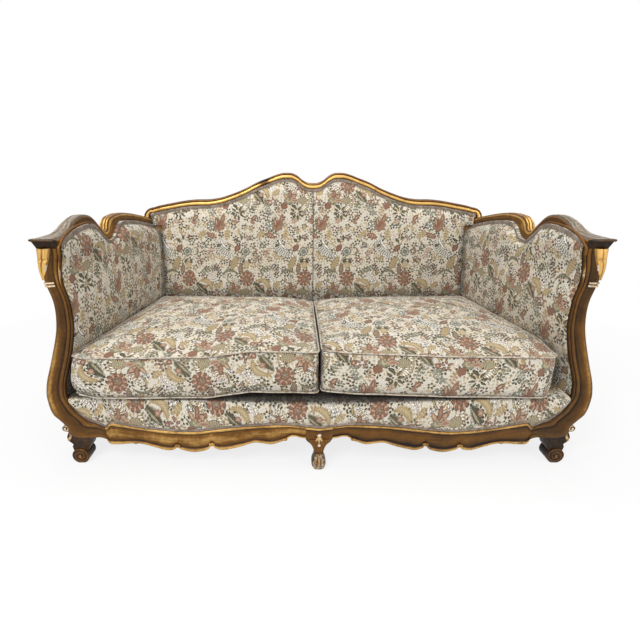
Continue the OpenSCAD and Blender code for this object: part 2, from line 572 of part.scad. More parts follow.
function mirror_list(list) = concat([for (i = [len(list) - 1:-1:1]) -list[i]], list);
back_steps = 12;
back_stations = [for (k = [0:back_steps]) crest_half * k / back_steps];
crest_stations = [for (p = crest_edge) p[0]];
module back_hessian() color(jute) placed() {
    loft([for (x = mirror_list(back_stations)) let (top = crest_top(abs(x)) - moulding_h * 1.3)
        [for (q = [[3, back_lap_z], [3, top], [2, top], [2, back_lap_z]])
            [x, back_layer_y(q[1], q[0]) - (q[0] < 3 ? gap : 0), q[1]]]]);
}
module outside_back() color(tapestry) placed() {
    loft([for (x = mirror_list(crest_stations)) let (top = crest_top(abs(x)) - moulding_h - gap)
        let (low = back_rail_low + overrun, w = x / crest_half * (crest_half - gap))
        [for (q = [[0, low], [0, bend_h], [0, top], [1, top], [1, bend_h], [1, low]])
            [w, frame_back_y(q[1]) - rebate_d + gap + q[0] * 2 * cloth_t, q[1]]]]);
}
// Padding of the back: place down from the crest, then share of the full thickness
back_pad_share = [[0, 0.09], [0.028, 0.09], [0.05, 0.6], [0.11, 0.88], [0.3, 1], [0.5, 1],
    [0.7, 0.92], [0.9, 0.68], [1, 0.56]];
back_side_x = crest_half - arm_pad_t - 2 * soft_gap;
back_ear_x = crest_half + stile_w * 0.2;
// Across a panel: place from the middle seam to the arm, then share of the thickness
back_across_share = [[0, 0.82], [0.03, 0.9], [0.1, 0.97], [0.25, 1], [0.5, 1.03], [0.75, 1],
    [0.93, 0.94], [1, 0.8]];
function back_top(x) = x <= crest_half ? crest_top(x) - moulding_h : lookup(x, corner_inner);
function back_ring(x, low, share) =
    let (top = back_top(x) - soft_gap)
    concat([for (s = back_pad_share) let (z = mix(top, low, s[0]))
        [x, back_pad_y(z) - max(s[1] * share, back_pad_share[0][1]) * back_pad_t, z]],
        [[x, back_pad_y(low), low], [x, back_pad_y(top), top]]);
module inside_back(side) color(tapestry) placed() mirrored(side) {
    seam = soft_gap / 2;
    inner = [for (x = crest_stations) if (x > seam && x < back_side_x - overrun) x];
    stations = concat([seam], inner, [back_side_x]);
    full = [for (x = stations)
        back_ring(x, deck_h + soft_gap, lookup(x / back_side_x, back_across_share))];
    ear = [for (x = [back_side_x + gap, crest_half, back_ear_x])
        back_ring(x, post_h + soft_gap, back_pad_share[0][1])];
    loft(concat(full, ear), flip = true);
}
module crest_gimp() color(braid) placed() {
    t = cloth_t + gap;
    proud = back_pad_share[0][1] * back_pad_t + soft_gap + gap;
    reach = concat(crest_stations, [back_ear_x - overrun]);
    loft([for (x = mirror_list(reach)) let (top = back_top(abs(x)) - soft_gap - gap)
        [for (q = [[0, 0], [1, 0], [1, 1], [0, 1]]) let (z = top - q[1] * gimp_w)
            [x, back_pad_y(z) - proud - q[0] * t, z]]], flip = true);
}

// Arms: padding inside, cloth outside and gimp under the rail
arm_pad_share = [[0, 0.3], [0.032, 0.3], [0.06, 0.72], [0.12, 0.93], [0.25, 1], [0.35, 1],
    [0.45, 1], [0.55, 1], [0.65, 1], [0.8, 1], [1, 0.96]];
arm_across_share = [0, 0.04, 0.09, 0.15, 0.2, 0.24, 0.3, 0.36, 0.4, 0.43, 0.46, 0.5, 0.56, 0.66, 0.8,
    0.93, 1];
arm_pad_front = post_d * 0.25;
arm_pad_edge = rebate_d;
function arm_pad_point(u, s) =
    let (top_z = post_h + arm_end_share[1] * arm_rise_h)
    let (top_y = mix(arm_pad_front, back_pad_y(top_z) - gap, u))
    let (top = arm_low(top_y) - 2 * soft_gap)
    let (z = mix(top, deck_h + soft_gap, s), y = mix(arm_pad_front, back_pad_y(z) - gap, u))
    [y, z];
function arm_pad_outer(u, z) = mix(post_inner(z) - 2 * soft_gap, arm_rear_x - arm_w / 2, u)
    + arm_w * 0.25 * max(min(mix(arm_pad_front, back_pad_y(z), u) / post_d - 1.3, 1), 0);
function arm_pad_inner(u, z) = mix(post_inner(z) - arm_pad_edge, crest_half - arm_pad_t, u)
    - 4 * u * (1 - u) * arm_pad_edge * max(min((z - cushion_top_h) / crown_h, 1), 0);
function arm_pad_x(u, z, depth) = mix(arm_pad_outer(u, z), arm_pad_inner(u, z), depth);
function arm_pad_ring(u) = concat(
    [for (s = arm_pad_share) let (p = arm_pad_point(u, s[0]))
        [arm_pad_x(u, p[1], s[1]), p[0], p[1]]],
    [for (i = [len(arm_pad_share) - 1:-1:0]) let (p = arm_pad_point(u, arm_pad_share[i][0]))
        [arm_pad_outer(u, p[1]), p[0], p[1]]]);
module inside_arm(side) color(tapestry) placed() mirrored(side) {
    loft([for (u = arm_across_share) arm_pad_ring(u)], paired = true);
}
module arm_gimp(side) color(braid) placed() mirrored(side) {
    t = cloth_t + gap;
    loft([for (u = arm_across_share)
        let (a = arm_pad_point(u, 0), b = arm_pad_point(u, arm_pad_share[1][0]))
        [for (q = [[a, 0.02, 0], [a, 0.02, 1], [b, 0.8, 1], [b, 0.8, 0]])
            let (z = mix(a[1], b[1], q[1]), y = mix(a[0], b[0], q[1]))
            [arm_pad_x(u, z, arm_pad_share[0][1]) - soft_gap - q[2] * t, y, z]]]);
}
// Outside arm cloth at the post: height, then how far it stands in from the knee
outside_share = [[0.212, 0.52], [0.32, 0.31], [0.45, 0.42], [0.56, 0.72], [0.65, 0.96],
    [0.75, 1.1], [0.86, 1.08], [1, 1.06]];
outside_rows_share = [0, 0.06, 0.16, 0.32, 0.48, 0.66, 1];
outside_across_share = [0, 0.07, 0.14, 0.2, 0.26, 0.32, 0.38, 0.42, 0.47, 0.55, 0.7, 0.85, 1];
function outside_front_x(z) =
    half_w - post_sweep_w * lookup(z / post_h, outside_share);
function outside_point(u, s, skin) =
    let (rail_y = mix(post_d + gap, frame_y(post_h + arm_end_share[1] * arm_rise_h) - gap, u))
    let (low = apron_top_h * 0.9 + gap, z = mix(low, arm_low(rail_y) - 2 * overrun, s))
    let (y = mix(post_d + gap, frame_y(z) - gap, u))
    [mix(outside_front_x(z), stile_out - gap, u) - skin * 2 * cloth_t, y, z];
module outside_arm(side) color(tapestry) placed() mirrored(side) {
    loft([for (u = outside_across_share) concat(
        [for (s = outside_rows_share) outside_point(u, s, 0)],
        [for (i = [len(outside_rows_share) - 1:-1:0]) outside_point(u, outside_rows_share[i], 1)])],
        paired = true);
}

// Loose cushions: hollow cover, filling and two piping cords
piping_r = piping_d / 2;
cushion_x0 = cushion_gap / 2 + piping_d * 0.6;
cushion_front_half = post_inner(cushion_top_h) - arm_pad_edge - cushion_gap - piping_r;
cushion_rear_half = crest_half - arm_pad_t - cushion_gap - piping_r;
cushion_rear_y = back_pad_y(deck_h) - back_pad_t * back_pad_share[7][1] - cushion_gap - piping_r;
cushion_low = deck_h + gap;
cushion_seam_low = cushion_low + piping_r;
cushion_seam_top = cushion_seam_low + cushion_t;
corner_r = cushion_t * 0.2;
side_pull = cushion_t * 0.03;
function cushion_side(y) = mix(cushion_front_half, cushion_rear_half,
    max(y - post_d / 2, 0) / (cushion_rear_y - post_d / 2));
// Plan outline of a cushion as a rounded square of side 1, then stretched to size
arc_steps = 4;
quarter_turn = 90;
side_steps_n = 5;
function unit_corner(k, ra, rb) =
    let (c = [[1 - ra, rb], [1 - ra, 1 - rb], [ra, 1 - rb], [ra, rb]][k])
    [for (i = [0:arc_steps]) let (t = quarter_turn * (k - 1 + i / arc_steps))
        c + [ra * cos(t), rb * sin(t)]];
function unit_side(a, b) = [for (i = [1:side_steps_n]) mix(a, b, i / (side_steps_n + 1))];
function unit_outline(ra, rb) = let (c = [for (k = [0:3]) unit_corner(k, ra, rb)])
    [for (k = [0:3], p = concat(c[k], unit_side(c[k][arc_steps], c[(k + 1) % 4][0]))) p];
function cushion_outline() =
    let (w = cushion_front_half - cushion_x0, d = cushion_rear_y + cushion_proud_d)
    [for (p = unit_outline(corner_r / w, corner_r / d))
        let (y = mix(-cushion_proud_d, cushion_rear_y, p[1]))
        let (pull = side_pull * [(1 - 2 * p[0]) * 4 * p[1] * (1 - p[1]),
            (1 - 2 * p[1]) * 4 * p[0] * (1 - p[0])])
        [mix(cushion_x0, cushion_side(y), p[0]), y] + pull];
outline_pts = cushion_outline();
cushion_mid = [(cushion_x0 + cushion_side(cushion_rear_y / 2)) / 2, cushion_rear_y / 2];
function cushion_ring(q, out, z, step = 1) = [for (i = [0:step:len(outline_pts) - 1])
    let (v = outline_pts[i] - cushion_mid, p = cushion_mid + q * v + out * v / norm(v))
    [p[0], p[1], z]];
// Bottom panel, box border and crowned top: share of the plan, height in the crown
seam_in = piping_r * 1.3;
bottom_share = [[0.45, 0], [0.85, 0], [0.96, 0.3]];
border_bulge_share = [[0.15, -0.1], [0.5, 0.16], [0.85, -0.1]];
dome_share = [[0.975, 0.12], [0.92, 0.36], [0.82, 0.62], [0.66, 0.85], [0.42, 0.97], [0.2, 1]];
function cover_rings() = concat(
    [for (r = bottom_share) cushion_ring(r[0], 0, cushion_low + r[1] * piping_r)],
    [cushion_ring(1, -seam_in, cushion_seam_low)],
    [for (r = border_bulge_share)
        cushion_ring(1, r[1] * piping_d, mix(cushion_seam_low, cushion_seam_top, r[0]))],
    [cushion_ring(1, -seam_in, cushion_seam_top)],
    [for (r = dome_share) cushion_ring(r[0], 0, cushion_seam_top + r[1] * crown_h)]);
filling_dome_share = [[0.93, 0.2], [0.8, 0.5], [0.55, 0.78], [0.25, 0.88]];
filling_side_share = [[0.06, 2.4], [0.5, 2], [0.94, 2.4]];
function filling_rings(inset) = let (wall = 3 * cloth_t)
    concat([for (q = [0.5, 0.85]) cushion_ring(q, -inset, cushion_low + wall + inset, 2)],
        [for (r = filling_side_share)
            cushion_ring(1, -r[1] * wall - inset, mix(cushion_seam_low, cushion_seam_top, r[0]), 2)],
        [for (r = filling_dome_share)
            cushion_ring(r[0], -inset, cushion_seam_top + r[1] * crown_h - inset, 2)]);
module cushion_cover(side) color(tapestry) placed() mirrored(side) difference() {
    loft(cover_rings(), flip = true);
    loft(filling_rings(0), flip = true);
}
module cushion_filling(side) color(beech) placed() mirrored(side) {
    loft(filling_rings(soft_gap), flip = true);
}
module cord(points, r, sides) {
    n = len(points);
    rings = [for (i = [0:n - 1]) let (t = points[(i + 1) % n] - points[(i + n - 1) % n])
        let (side = cross(t, [0, 0, 1]) / norm(t)) [for (k = [0:sides - 1])
        let (a = 360 * k / sides) points[i] + r * (cos(a) * side + sin(a) * [0, 0, 1])]];
    polyhedron(points = [for (g = rings, p = g) p], faces = concat(
        [for (i = [0:n - 1], k = [0:sides - 1]) let (b = (i + 1) % n, c = (k + 1) % sides)
            [i * sides + k, i * sides + c, b * sides + k]],
        [for (i = [0:n - 1], k = [0:sides - 1]) let (b = (i + 1) % n, c = (k + 1) % sides)
            [i * sides + c, b * sides + c, b * sides + k]]), convexity = 6);
}
module cushion_piping(side) color(tapestry) placed() mirrored(side) {
    for (z = [cushion_seam_low, cushion_seam_top])
        cord(cushion_ring(1, piping_d * 0.08, z), piping_r, 6);
}

crest_rail();
back_stile(-1);  // back_stile_left
back_stile(1);  // back_stile_right
back_center_upright();
back_lower_rail();
back_seat_rail();
rear_center_leg();
arm_rail(-1);  // arm_rail_left
arm_rail(1);  // arm_rail_right
front_post(-1);  // front_post_left
front_post(1);  // front_post_right
arm_dowels();
front_rail(-1);  // front_rail_left
front_rail(1);  // front_rail_right
front_center_leg();
side_rail(-1);  // side_rail_left
side_rail(1);  // side_rail_right
seat_cross_rail(-1);  // seat_cross_rail_left
seat_cross_rail(1);  // seat_cross_rail_right
corner_blocks();
corner_block_screws();
arm_tacking_rail(-1);  // arm_tacking_rail_left
arm_tacking_rail(1);  // arm_tacking_rail_right
seat_webbing();
seat_hessian();
seat_deck();
seat_front_border();
back_webbing();
back_hessian();
inside_back(-1);  // inside_back_left
inside_back(1);  // inside_back_right
inside_arm(-1);  // inside_arm_left
inside_arm(1);  // inside_arm_right
outside_back();
outside_arm(-1);  // outside_arm_left
outside_arm(1);  // outside_arm_right
dust_cover();
crest_gimp();
arm_gimp(-1);  // arm_gimp_left
arm_gimp(1);  // arm_gimp_right
border_gimp();
cushion_cover(-1);  // cushion_cover_left
cushion_cover(1);  // cushion_cover_right
cushion_filling(-1);  // cushion_filling_left
cushion_filling(1);  // cushion_filling_right
cushion_piping(-1);  // cushion_piping_left
cushion_piping(1);  // cushion_piping_right
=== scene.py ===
import math

import bmesh
import bpy
import numpy as np
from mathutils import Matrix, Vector, noise


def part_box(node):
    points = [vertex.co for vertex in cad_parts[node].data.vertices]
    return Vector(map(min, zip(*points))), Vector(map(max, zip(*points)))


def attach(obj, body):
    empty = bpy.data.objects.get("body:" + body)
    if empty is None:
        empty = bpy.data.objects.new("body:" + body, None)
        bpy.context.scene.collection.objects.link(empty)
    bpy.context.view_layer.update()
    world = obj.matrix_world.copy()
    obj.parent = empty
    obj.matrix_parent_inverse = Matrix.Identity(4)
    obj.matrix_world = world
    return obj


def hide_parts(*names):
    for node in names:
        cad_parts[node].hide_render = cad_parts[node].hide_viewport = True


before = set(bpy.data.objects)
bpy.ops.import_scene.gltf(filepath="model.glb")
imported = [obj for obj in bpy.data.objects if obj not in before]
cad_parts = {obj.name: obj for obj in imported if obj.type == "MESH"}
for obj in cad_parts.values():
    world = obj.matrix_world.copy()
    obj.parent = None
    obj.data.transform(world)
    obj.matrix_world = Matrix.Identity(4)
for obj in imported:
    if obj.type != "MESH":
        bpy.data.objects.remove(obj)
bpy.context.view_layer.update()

# Places are in millimetres in the CAD source's own frame, whose Y is 0 at the front of the posts
MM = 0.001
CENTER_Y = -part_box("front_post_left")[0].y / MM
SIDES = (("left", -1), ("right", 1))

# Sizes that the frame is made from
SOFA_W, POST_H, POST_D, POST_SWEEP, POST_W, KNEE_W = 1862, 775, 62, 90, 64, 186
SEAT_D, LEAN, SCROLL_D = 735, math.tan(math.radians(10)), 60
ARM_RISE, ARM_W, REAR_INSET, STILE_W = 79, 38, 131, 43
BOW_D, APRON_TOP_H, FRAME_TOP_H, RAIL_T, BLOCK_HALF = 30, 178, 190, 40, 46
CORNER_H, HUMP_RISE, CREST_SECTION, MOULDING_H, MOULDING_PROUD = 47, 152, 60, 26, 8
BACK_D, REBATE, REAR_KICK = 37, 4, 62
DECK_H, BEND_H, BACK_PAD_T, ARM_PAD_T, CLOTH_T = 270, 250, 34, 46, 1.5
CUSHION_T, CROWN_H, CUSHION_PROUD, PIPING_D = 146, 40, 18, 6
GAP, SOFT_GAP, CUSHION_GAP, OVERRUN = 0.3, 0.6, 2, 2
HALF_W = SOFA_W / 2
SEAM_X = HALF_W - KNEE_W
CREST_END_H = POST_H + CORNER_H
CREST_H = CREST_END_H + HUMP_RISE
STILE_OUT = HALF_W - REAR_INSET
CREST_HALF = STILE_OUT - STILE_W
CUSHION_TOP = DECK_H + CUSHION_T + PIPING_D / 2
KNEE_H = POST_H * 0.338


def mix(a, b, t):
    return a + (b - a) * t


def curve(points, steps):
    """A smooth curve through rows of numbers, sampled evenly from row to row."""
    p = np.array(points, float)
    n = len(p) - 1
    s = np.linspace(0, n, steps + 1)
    i = np.minimum(s.astype(int), n - 1)
    t = (s - i)[:, None]
    p0, p1, p2, p3 = p[np.maximum(i - 1, 0)], p[i], p[i + 1], p[np.minimum(i + 2, n)]
    return (2 * p1 + (p2 - p0) * t + (2 * p0 - 5 * p1 + 4 * p2 - p3) * t**2
            + (3 * p1 - p0 - 3 * p2 + p3) * t**3) / 2


def lookup(x, table):
    t = np.array(table, float)
    t = t[np.argsort(t[:, 0], kind="stable")]
    return np.interp(x, t[:, 0], t[:, 1])


def runs(*parts):
    """Evenly spaced numbers in several stretches, each given by its ends and its count."""
    return np.concatenate([np.linspace(*part) for part in parts])


def mirrored(xs):
    return np.concatenate([-xs[:0:-1], xs])


def clamp(x):
    return min(max(x, 0), 1)


def smoothstep(x):
    x = np.clip(x, 0, 1)
    return x * x * (3 - 2 * x)


def lean_y(z):
    return SEAT_D + LEAN * (np.maximum(z, BEND_H) - CUSHION_TOP)


def frame_y(z):
    return lean_y(z) + REBATE


def frame_back_y(z):
    return lean_y(z) + BACK_D


def back_pad_y(z):
    return frame_y(z) - 3 * (CLOTH_T + GAP) - GAP


# Materials
class Tree:
    """A material or a node group, with short calls for the nodes in it."""

    def __init__(self, tree):
        self.tree = tree

    def node(self, kind, *inputs, out=0, **settings):
        made = self.tree.nodes.new("ShaderNode" + kind)
        for key, value in settings.items():
            setattr(made, key, value)
        self.feed(made, inputs)
        return made if out is None else made.outputs[out]

    def feed(self, made, inputs):
        pairs = inputs.items() if isinstance(inputs, dict) else enumerate(inputs)
        for key, value in pairs:
            if value is None:
                continue
            socket = made.inputs[key]
            if isinstance(value, bpy.types.NodeSocket):
                self.tree.links.new(value, socket)
            elif isinstance(value, (tuple, list)) and socket.type == "RGBA" and len(value) == 3:
                socket.default_value = (*value, 1)
            else:
                socket.default_value = value

    def math(self, operation, *inputs, clamp=False):
        return self.node("Math", *inputs, operation=operation, use_clamp=clamp)

    def add(self, a, b, clamp=False):
        return self.math("ADD", a, b, clamp=clamp)

    def minus(self, a, b):
        return self.math("SUBTRACT", a, b)

    def times(self, a, b):
        return self.math("MULTIPLY", a, b)

    def over(self, a, b):
        return self.math("DIVIDE", a, b)

    def times_add(self, a, b, c):
        return self.math("MULTIPLY_ADD", a, b, c)

    def absolute(self, a):
        return self.math("ABSOLUTE", a)

    def vec(self, operation, *inputs, out=0):
        return self.node("VectorMath", *inputs, operation=operation, out=out)

    def blend(self, factor, a, b):
        made = self.node("Mix", out=None, data_type="RGBA")
        self.feed(made, {0: factor, 6: a, 7: b})
        return made.outputs[2]

    def span(self, value, low, high, to_low=0.0, to_high=1.0):
        made = self.node("MapRange", out=None)
        self.feed(made, {0: value, 1: low, 2: high, 3: to_low, 4: to_high})
        return made.outputs[0]

    def noise(self, vector, scale, detail=3.0, rough=0.5, distortion=0.0):
        made = self.node("TexNoise", out=None)
        self.feed(made, {"Vector": vector, "Scale": scale, "Detail": detail,
                         "Roughness": rough, "Distortion": distortion})
        return made.outputs[0]

    def ramp(self, factor, *stops):
        made = self.node("ValToRGB", factor, out=None)
        ramp = made.color_ramp
        while len(ramp.elements) < len(stops):
            ramp.elements.new(0.5)
        for element, (place, color) in zip(ramp.elements, stops):
            element.position = place
            element.color = (*color, 1) if len(color) == 3 else color
        return made.outputs[0]

    def scaled(self, vector, size):
        return self.vec("MULTIPLY", vector, size)

    def place(self):
        return self.node("TexCoord", out=3)

    def mark(self, name):
        """A number that each vertex carries."""
        return self.node("Attribute", out=2, attribute_name=name)

    def bump(self, height, strength, distance, normal=None):
        made = self.node("Bump", out=None)
        self.feed(made, {"Height": height, "Strength": strength, "Distance": distance,
                         "Normal": normal})
        return made.outputs[0]


def material(name):
    m = bpy.data.materials.new(name)
    m.use_nodes = True
    m.node_tree.nodes.clear()
    t = Tree(m.node_tree)
    shader = t.node("BsdfPrincipled", out=None)
    output = t.node("OutputMaterial", out=None)
    m.node_tree.links.new(shader.outputs[0], output.inputs[0])
    return m, t, shader


def srgb(r, g, b):
    return tuple(((c / 255 + 0.055) / 1.055) ** 2.4 if c > 10 else c / 255 / 12.92
                 for c in (r, g, b))


def gilt_material(name, light=(206, 164, 94), mid=(120, 80, 31), dark=(22, 14, 7), worn=0.5):
    """Old gold leaf and bronze paint: bright on the beads, brown in the field, dark in the grooves."""
    m, t, shader = material(name)
    place = t.place()
    tone = t.mark("tone")
    run = t.node("UVMap", uv_map="UVMap")
    broad = t.noise(place, 9.0, 4.0, 0.6)
    fine = t.noise(place, 70.0, 5.0, 0.65)
    streak = t.noise(t.scaled(run, (160.0, 9.0, 1.0)), 1.0, 4.0, 0.6)
    uneven = t.add(t.times(t.minus(broad, 0.5), 0.55), t.times(t.minus(streak, 0.5), 0.4))
    uneven = t.add(uneven, t.times(t.minus(fine, 0.5), 0.3))
    level = t.add(t.span(tone, -1.0, 1.0, 0.0, 0.9), uneven, clamp=True)
    half_dark = srgb(*[mix(a, b, 0.6) for a, b in zip(dark, mid)])
    bright = srgb(*[min(c * 1.13, 255) for c in light])
    color = t.ramp(level, (0.0, srgb(*dark)), (0.3, half_dark), (0.56, srgb(*mid)),
                   (0.84, srgb(*light)), (1.0, bright))
    # Bare bole and grime in patches, and chips down to the white ground on the high spots
    patch = t.span(t.noise(place, 22.0, 5.0, 0.7, 0.6), 0.56, 0.66, 0.0, worn)
    color = t.blend(patch, color, srgb(78, 46, 26))
    chip_field = t.noise(place, 38.0, 4.0, 0.6, 0.4)
    chip = t.times(t.span(chip_field, 0.735, 0.75), t.span(tone, 0.0, 0.6))
    spot = t.mark("chip")
    broken = t.span(t.noise(place, 130.0, 3.0, 0.6), 0.44, 0.5)
    chip = t.math("MAXIMUM", chip, t.times(spot, broken))
    color = t.blend(chip, color, srgb(222, 212, 194))
    silver = t.mark("silver")
    rubbed = t.times(silver, t.span(fine, 0.35, 0.6, 0.45, 1.0))
    color = t.blend(rubbed, color, t.ramp(streak, (0.3, srgb(104, 92, 76)),
                                          (0.65, srgb(176, 168, 152))))
    shine = t.times(t.span(level, 0.2, 0.95, 0.0, 0.62),
                    t.minus(1.0, t.math("MAXIMUM", chip, patch)))
    rough = t.span(t.add(t.times(fine, 0.5), t.times(broad, 0.5)), 0.3, 0.7, 0.52, 0.34)
    rough = t.add(rough, t.times(chip, 0.3))
    height = t.add(t.times(fine, 0.6), t.times(streak, 0.5))
    height = t.minus(height, t.times(chip, 0.5))
    t.feed(shader, {"Base Color": color, "Metallic": shine, "Roughness": rough,
                    "Specular IOR Level": 0.2, "Normal": t.bump(height, 0.35, 0.0012)})
    return m


def wood_material(name, light, dark):
    m, t, shader = material(name)
    place = t.place()
    grain = t.noise(t.scaled(place, (6.0, 60.0, 60.0)), 1.0, 6.0, 0.65, 0.3)
    pores = t.noise(t.scaled(place, (30.0, 420.0, 420.0)), 1.0, 2.0, 0.5)
    color = t.ramp(grain, (0.3, srgb(*dark)), (0.7, srgb(*light)))
    color = t.blend(t.span(pores, 0.62, 0.75, 0.0, 0.5), color, srgb(*[c * 0.7 for c in dark]))
    t.feed(shader, {"Base Color": color, "Roughness": t.span(grain, 0.3, 0.7, 0.7, 0.6),
                    "Normal": t.bump(grain, 0.3, 0.001)})
    return m


def weave(t, coords, threads, strength, distance):
    """Height and bump of a plain weave with that many threads a metre."""
    split = t.node("SeparateXYZ", t.scaled(coords, (threads, threads, threads)), out=None)
    x, y = (t.math("SINE", t.times(split.outputs[i], math.pi)) for i in (0, 1))
    height = t.add(t.times(x, 0.5), t.times(y, 0.5))
    return height, t.bump(height, strength, distance)


def cloth_material(name, light, dark, threads, bits=None):
    """A plain cloth. bits is the color of what shows of a figure on it, and tone below 0 is painted
    shade.
    """
    m, t, shader = material(name)
    coords = t.place()
    tone = t.mark("tone")
    height, normal = weave(t, coords, threads, 0.5, 0.0006)
    slub = t.noise(coords, 40.0, 4.0, 0.6)
    color = t.ramp(slub, (0.3, srgb(*dark)), (0.7, srgb(*light)))
    color = t.blend(t.span(height, -1.0, 1.0, 0.35, 0.0), color, srgb(*[c * 0.6 for c in dark]))
    if bits:
        shown = t.span(t.noise(coords, 85.0, 2.0, 0.5), 0.52, 0.6, 0.0, 0.65)
        color = t.blend(shown, color, srgb(*bits))
    # Painted shade: a tone below 0 darkens the cloth towards dark brown, as on the underside of the
    # piping cords
    color = t.blend(t.span(tone, -1.0, 0.0, 0.92, 0.0), color, srgb(34, 27, 21))
    t.feed(shader, {"Base Color": color, "Roughness": 0.9, "Normal": normal, "Sheen Weight": 0.15})
    return m


def steel_material():
    m, t, shader = material("steel_plain")
    coords = t.place()
    rub = t.noise(coords, 300.0, 3.0, 0.6)
    t.feed(shader, {"Base Color": t.ramp(rub, (0.3, srgb(120, 120, 120)), (0.7, srgb(168, 168, 170))),
                    "Metallic": 1.0, "Roughness": t.span(rub, 0.3, 0.7, 0.35, 0.5)})
    return m


# One repeat of the tapestry cloth in millimetres, and the colors of its wool
TILE = (274, 424)
CREAM, PALE = srgb(230, 224, 211), srgb(246, 243, 236)
ROSE, DUSTY, BLUSH = srgb(136, 95, 75), srgb(160, 121, 98), srgb(190, 162, 136)
OLIVE, MOSS, SAGE = srgb(66, 62, 44), srgb(92, 87, 62), srgb(138, 137, 113)
TAN, SAND, PLUM = srgb(166, 142, 98), srgb(194, 175, 137), srgb(98, 72, 68)
SLATE, INK = srgb(132, 139, 131), srgb(60, 51, 40)


def leaflets(t, turn, r, count, reach, width):
    """The shape of leaflets round a point, 1 at their hearts."""
    side = t.times(t.math("SINE", turn), t.times(r, 2 / count / width))
    out = t.over(t.minus(r, reach), 1 - reach)
    return t.minus(1.0, t.times_add(side, side, t.times(out, out)))


class Motifs:
    """Woven flowers and leaves, each of which repeats with the cloth."""

    def __init__(self, t, place, ground):
        self.t, self.place, self.color = t, place, ground
        self.count = 0

    def at(self, x, y, angle, a, b):
        """The place on a motif, which reaches from -1 to 1 both ways."""
        t, w, h = self.t, TILE[0] / 2, TILE[1] / 2
        near = t.vec("WRAP", self.place, (x + w, y + h, 1), (x - w, y - h, -1))
        local = t.node("Mapping", near, (x, y, 0), (0, 0, math.radians(angle)), (a, b, 1),
                       vector_type="TEXTURE")
        split = t.node("SeparateXYZ", local, out=None)
        return local, split.outputs[0], split.outputs[1]

    def lay(self, shape, stops):
        """Lays a shape on the cloth. It is 0 at its edge, 1 at its heart, and its colors run inwards."""
        made = self.t.node("ValToRGB", shape, out=None)
        ramp = made.color_ramp
        ramp.interpolation = "CONSTANT"
        ramp.elements[1].position = 0.02
        while len(ramp.elements) <= len(stops):
            ramp.elements.new(0.99)
        ramp.elements[0].color = (0, 0, 0, 0)
        for element, (place, color) in zip(list(ramp.elements)[1:], stops):
            element.position = place
            element.color = (*color, 1)
        self.color = self.t.blend(made.outputs[1], self.color, made.outputs[0])
        self.count += 1
        if self.count % 6 == 0:
            self.wait()

    def wait(self):
        """Lets the place wait for the color so far, which keeps the shader's memory small."""
        self.place = self.t.vec("MULTIPLY_ADD", self.color, (0, 0, 0), self.place)

    def bent(self, along, across, stops, teeth, ribs):
        t = self.t
        if teeth:
            saw = t.math("PINGPONG", t.times_add(along, teeth, across), 0.5)
            across = t.times_add(saw, 0.9, across)
        shape = t.minus(1.0, t.times_add(along, along, across))
        if ribs:
            slant = t.times_add(along, ribs, t.times(across, 3.0))
            wave = t.times_add(t.math("SINE", slant), 0.6, 0.75)
            shape = t.times(shape, wave)
        self.lay(shape, stops)

    def leaf(self, x, y, angle, a, b, *stops, teeth=0.0, ribs=0.0):
        _, u, v = self.at(x, y, angle, a, b)
        self.bent(u, self.t.absolute(v), stops, teeth, ribs)

    def arc(self, x, y, angle, radius, width, half_angle, *stops, teeth=0.0, ribs=0.0):
        """A leaf or band that is bent round a center."""
        t = self.t
        local, u, v = self.at(x, y, angle, 1, 1)
        turn = t.over(t.math("ARCTAN2", v, u), math.radians(half_angle))
        out = t.minus(t.vec("LENGTH", local, out=1), radius)
        self.bent(turn, t.over(t.absolute(out), width), stops, teeth, ribs)

    def flower(self, x, y, angle, a, b, petals, frill, *stops, twist=0.0):
        t = self.t
        local, u, v = self.at(x, y, angle, a, b)
        r = t.vec("LENGTH", local, out=1)
        turn = t.times(t.math("ARCTAN2", v, u), petals)
        if twist:
            turn = t.times_add(r, twist, turn)
        petal = t.absolute(t.math("COSINE", t.times(turn, 0.5)))
        notch = t.times_add(petal, -frill * 1.6, frill * 1.6)
        self.lay(t.minus(1.0, t.times_add(notch, r, r)), stops)

    def ring(self, x, y, angle, size, count, *stops, reach=0.6, width=0.17):
        """Leaflets or berries round a point."""
        t = self.t
        local, u, v = self.at(x, y, angle, size, size)
        r = t.vec("LENGTH", local, out=1)
        turn = t.times(t.math("ARCTAN2", v, u), count / 2)
        self.lay(leaflets(t, turn, r, count, reach, width), stops)

    def sprig(self, x, y, angle, a, b, count, *stops):
        """Leaflets by turns on both sides of a bent stem."""
        t = self.t
        _, u, v = self.at(x, y, angle, a, b)
        v = t.times_add(t.times(u, u), 0.5, v)
        side = t.absolute(v)
        cell = t.times_add(u, count / 2, t.times(v, 0.45))
        near = t.over(t.math("PINGPONG", cell, 0.5), 0.34)
        out = t.over(t.minus(side, 0.55), 0.4)
        far = t.times_add(near, near, t.times(out, out))
        stem = t.times_add(side, -9.0, 1.0)
        shape = t.math("MAXIMUM", t.minus(1.0, far), stem)
        inside = t.math("LESS_THAN", t.absolute(u), 1.0)
        self.lay(t.times(shape, inside), stops)


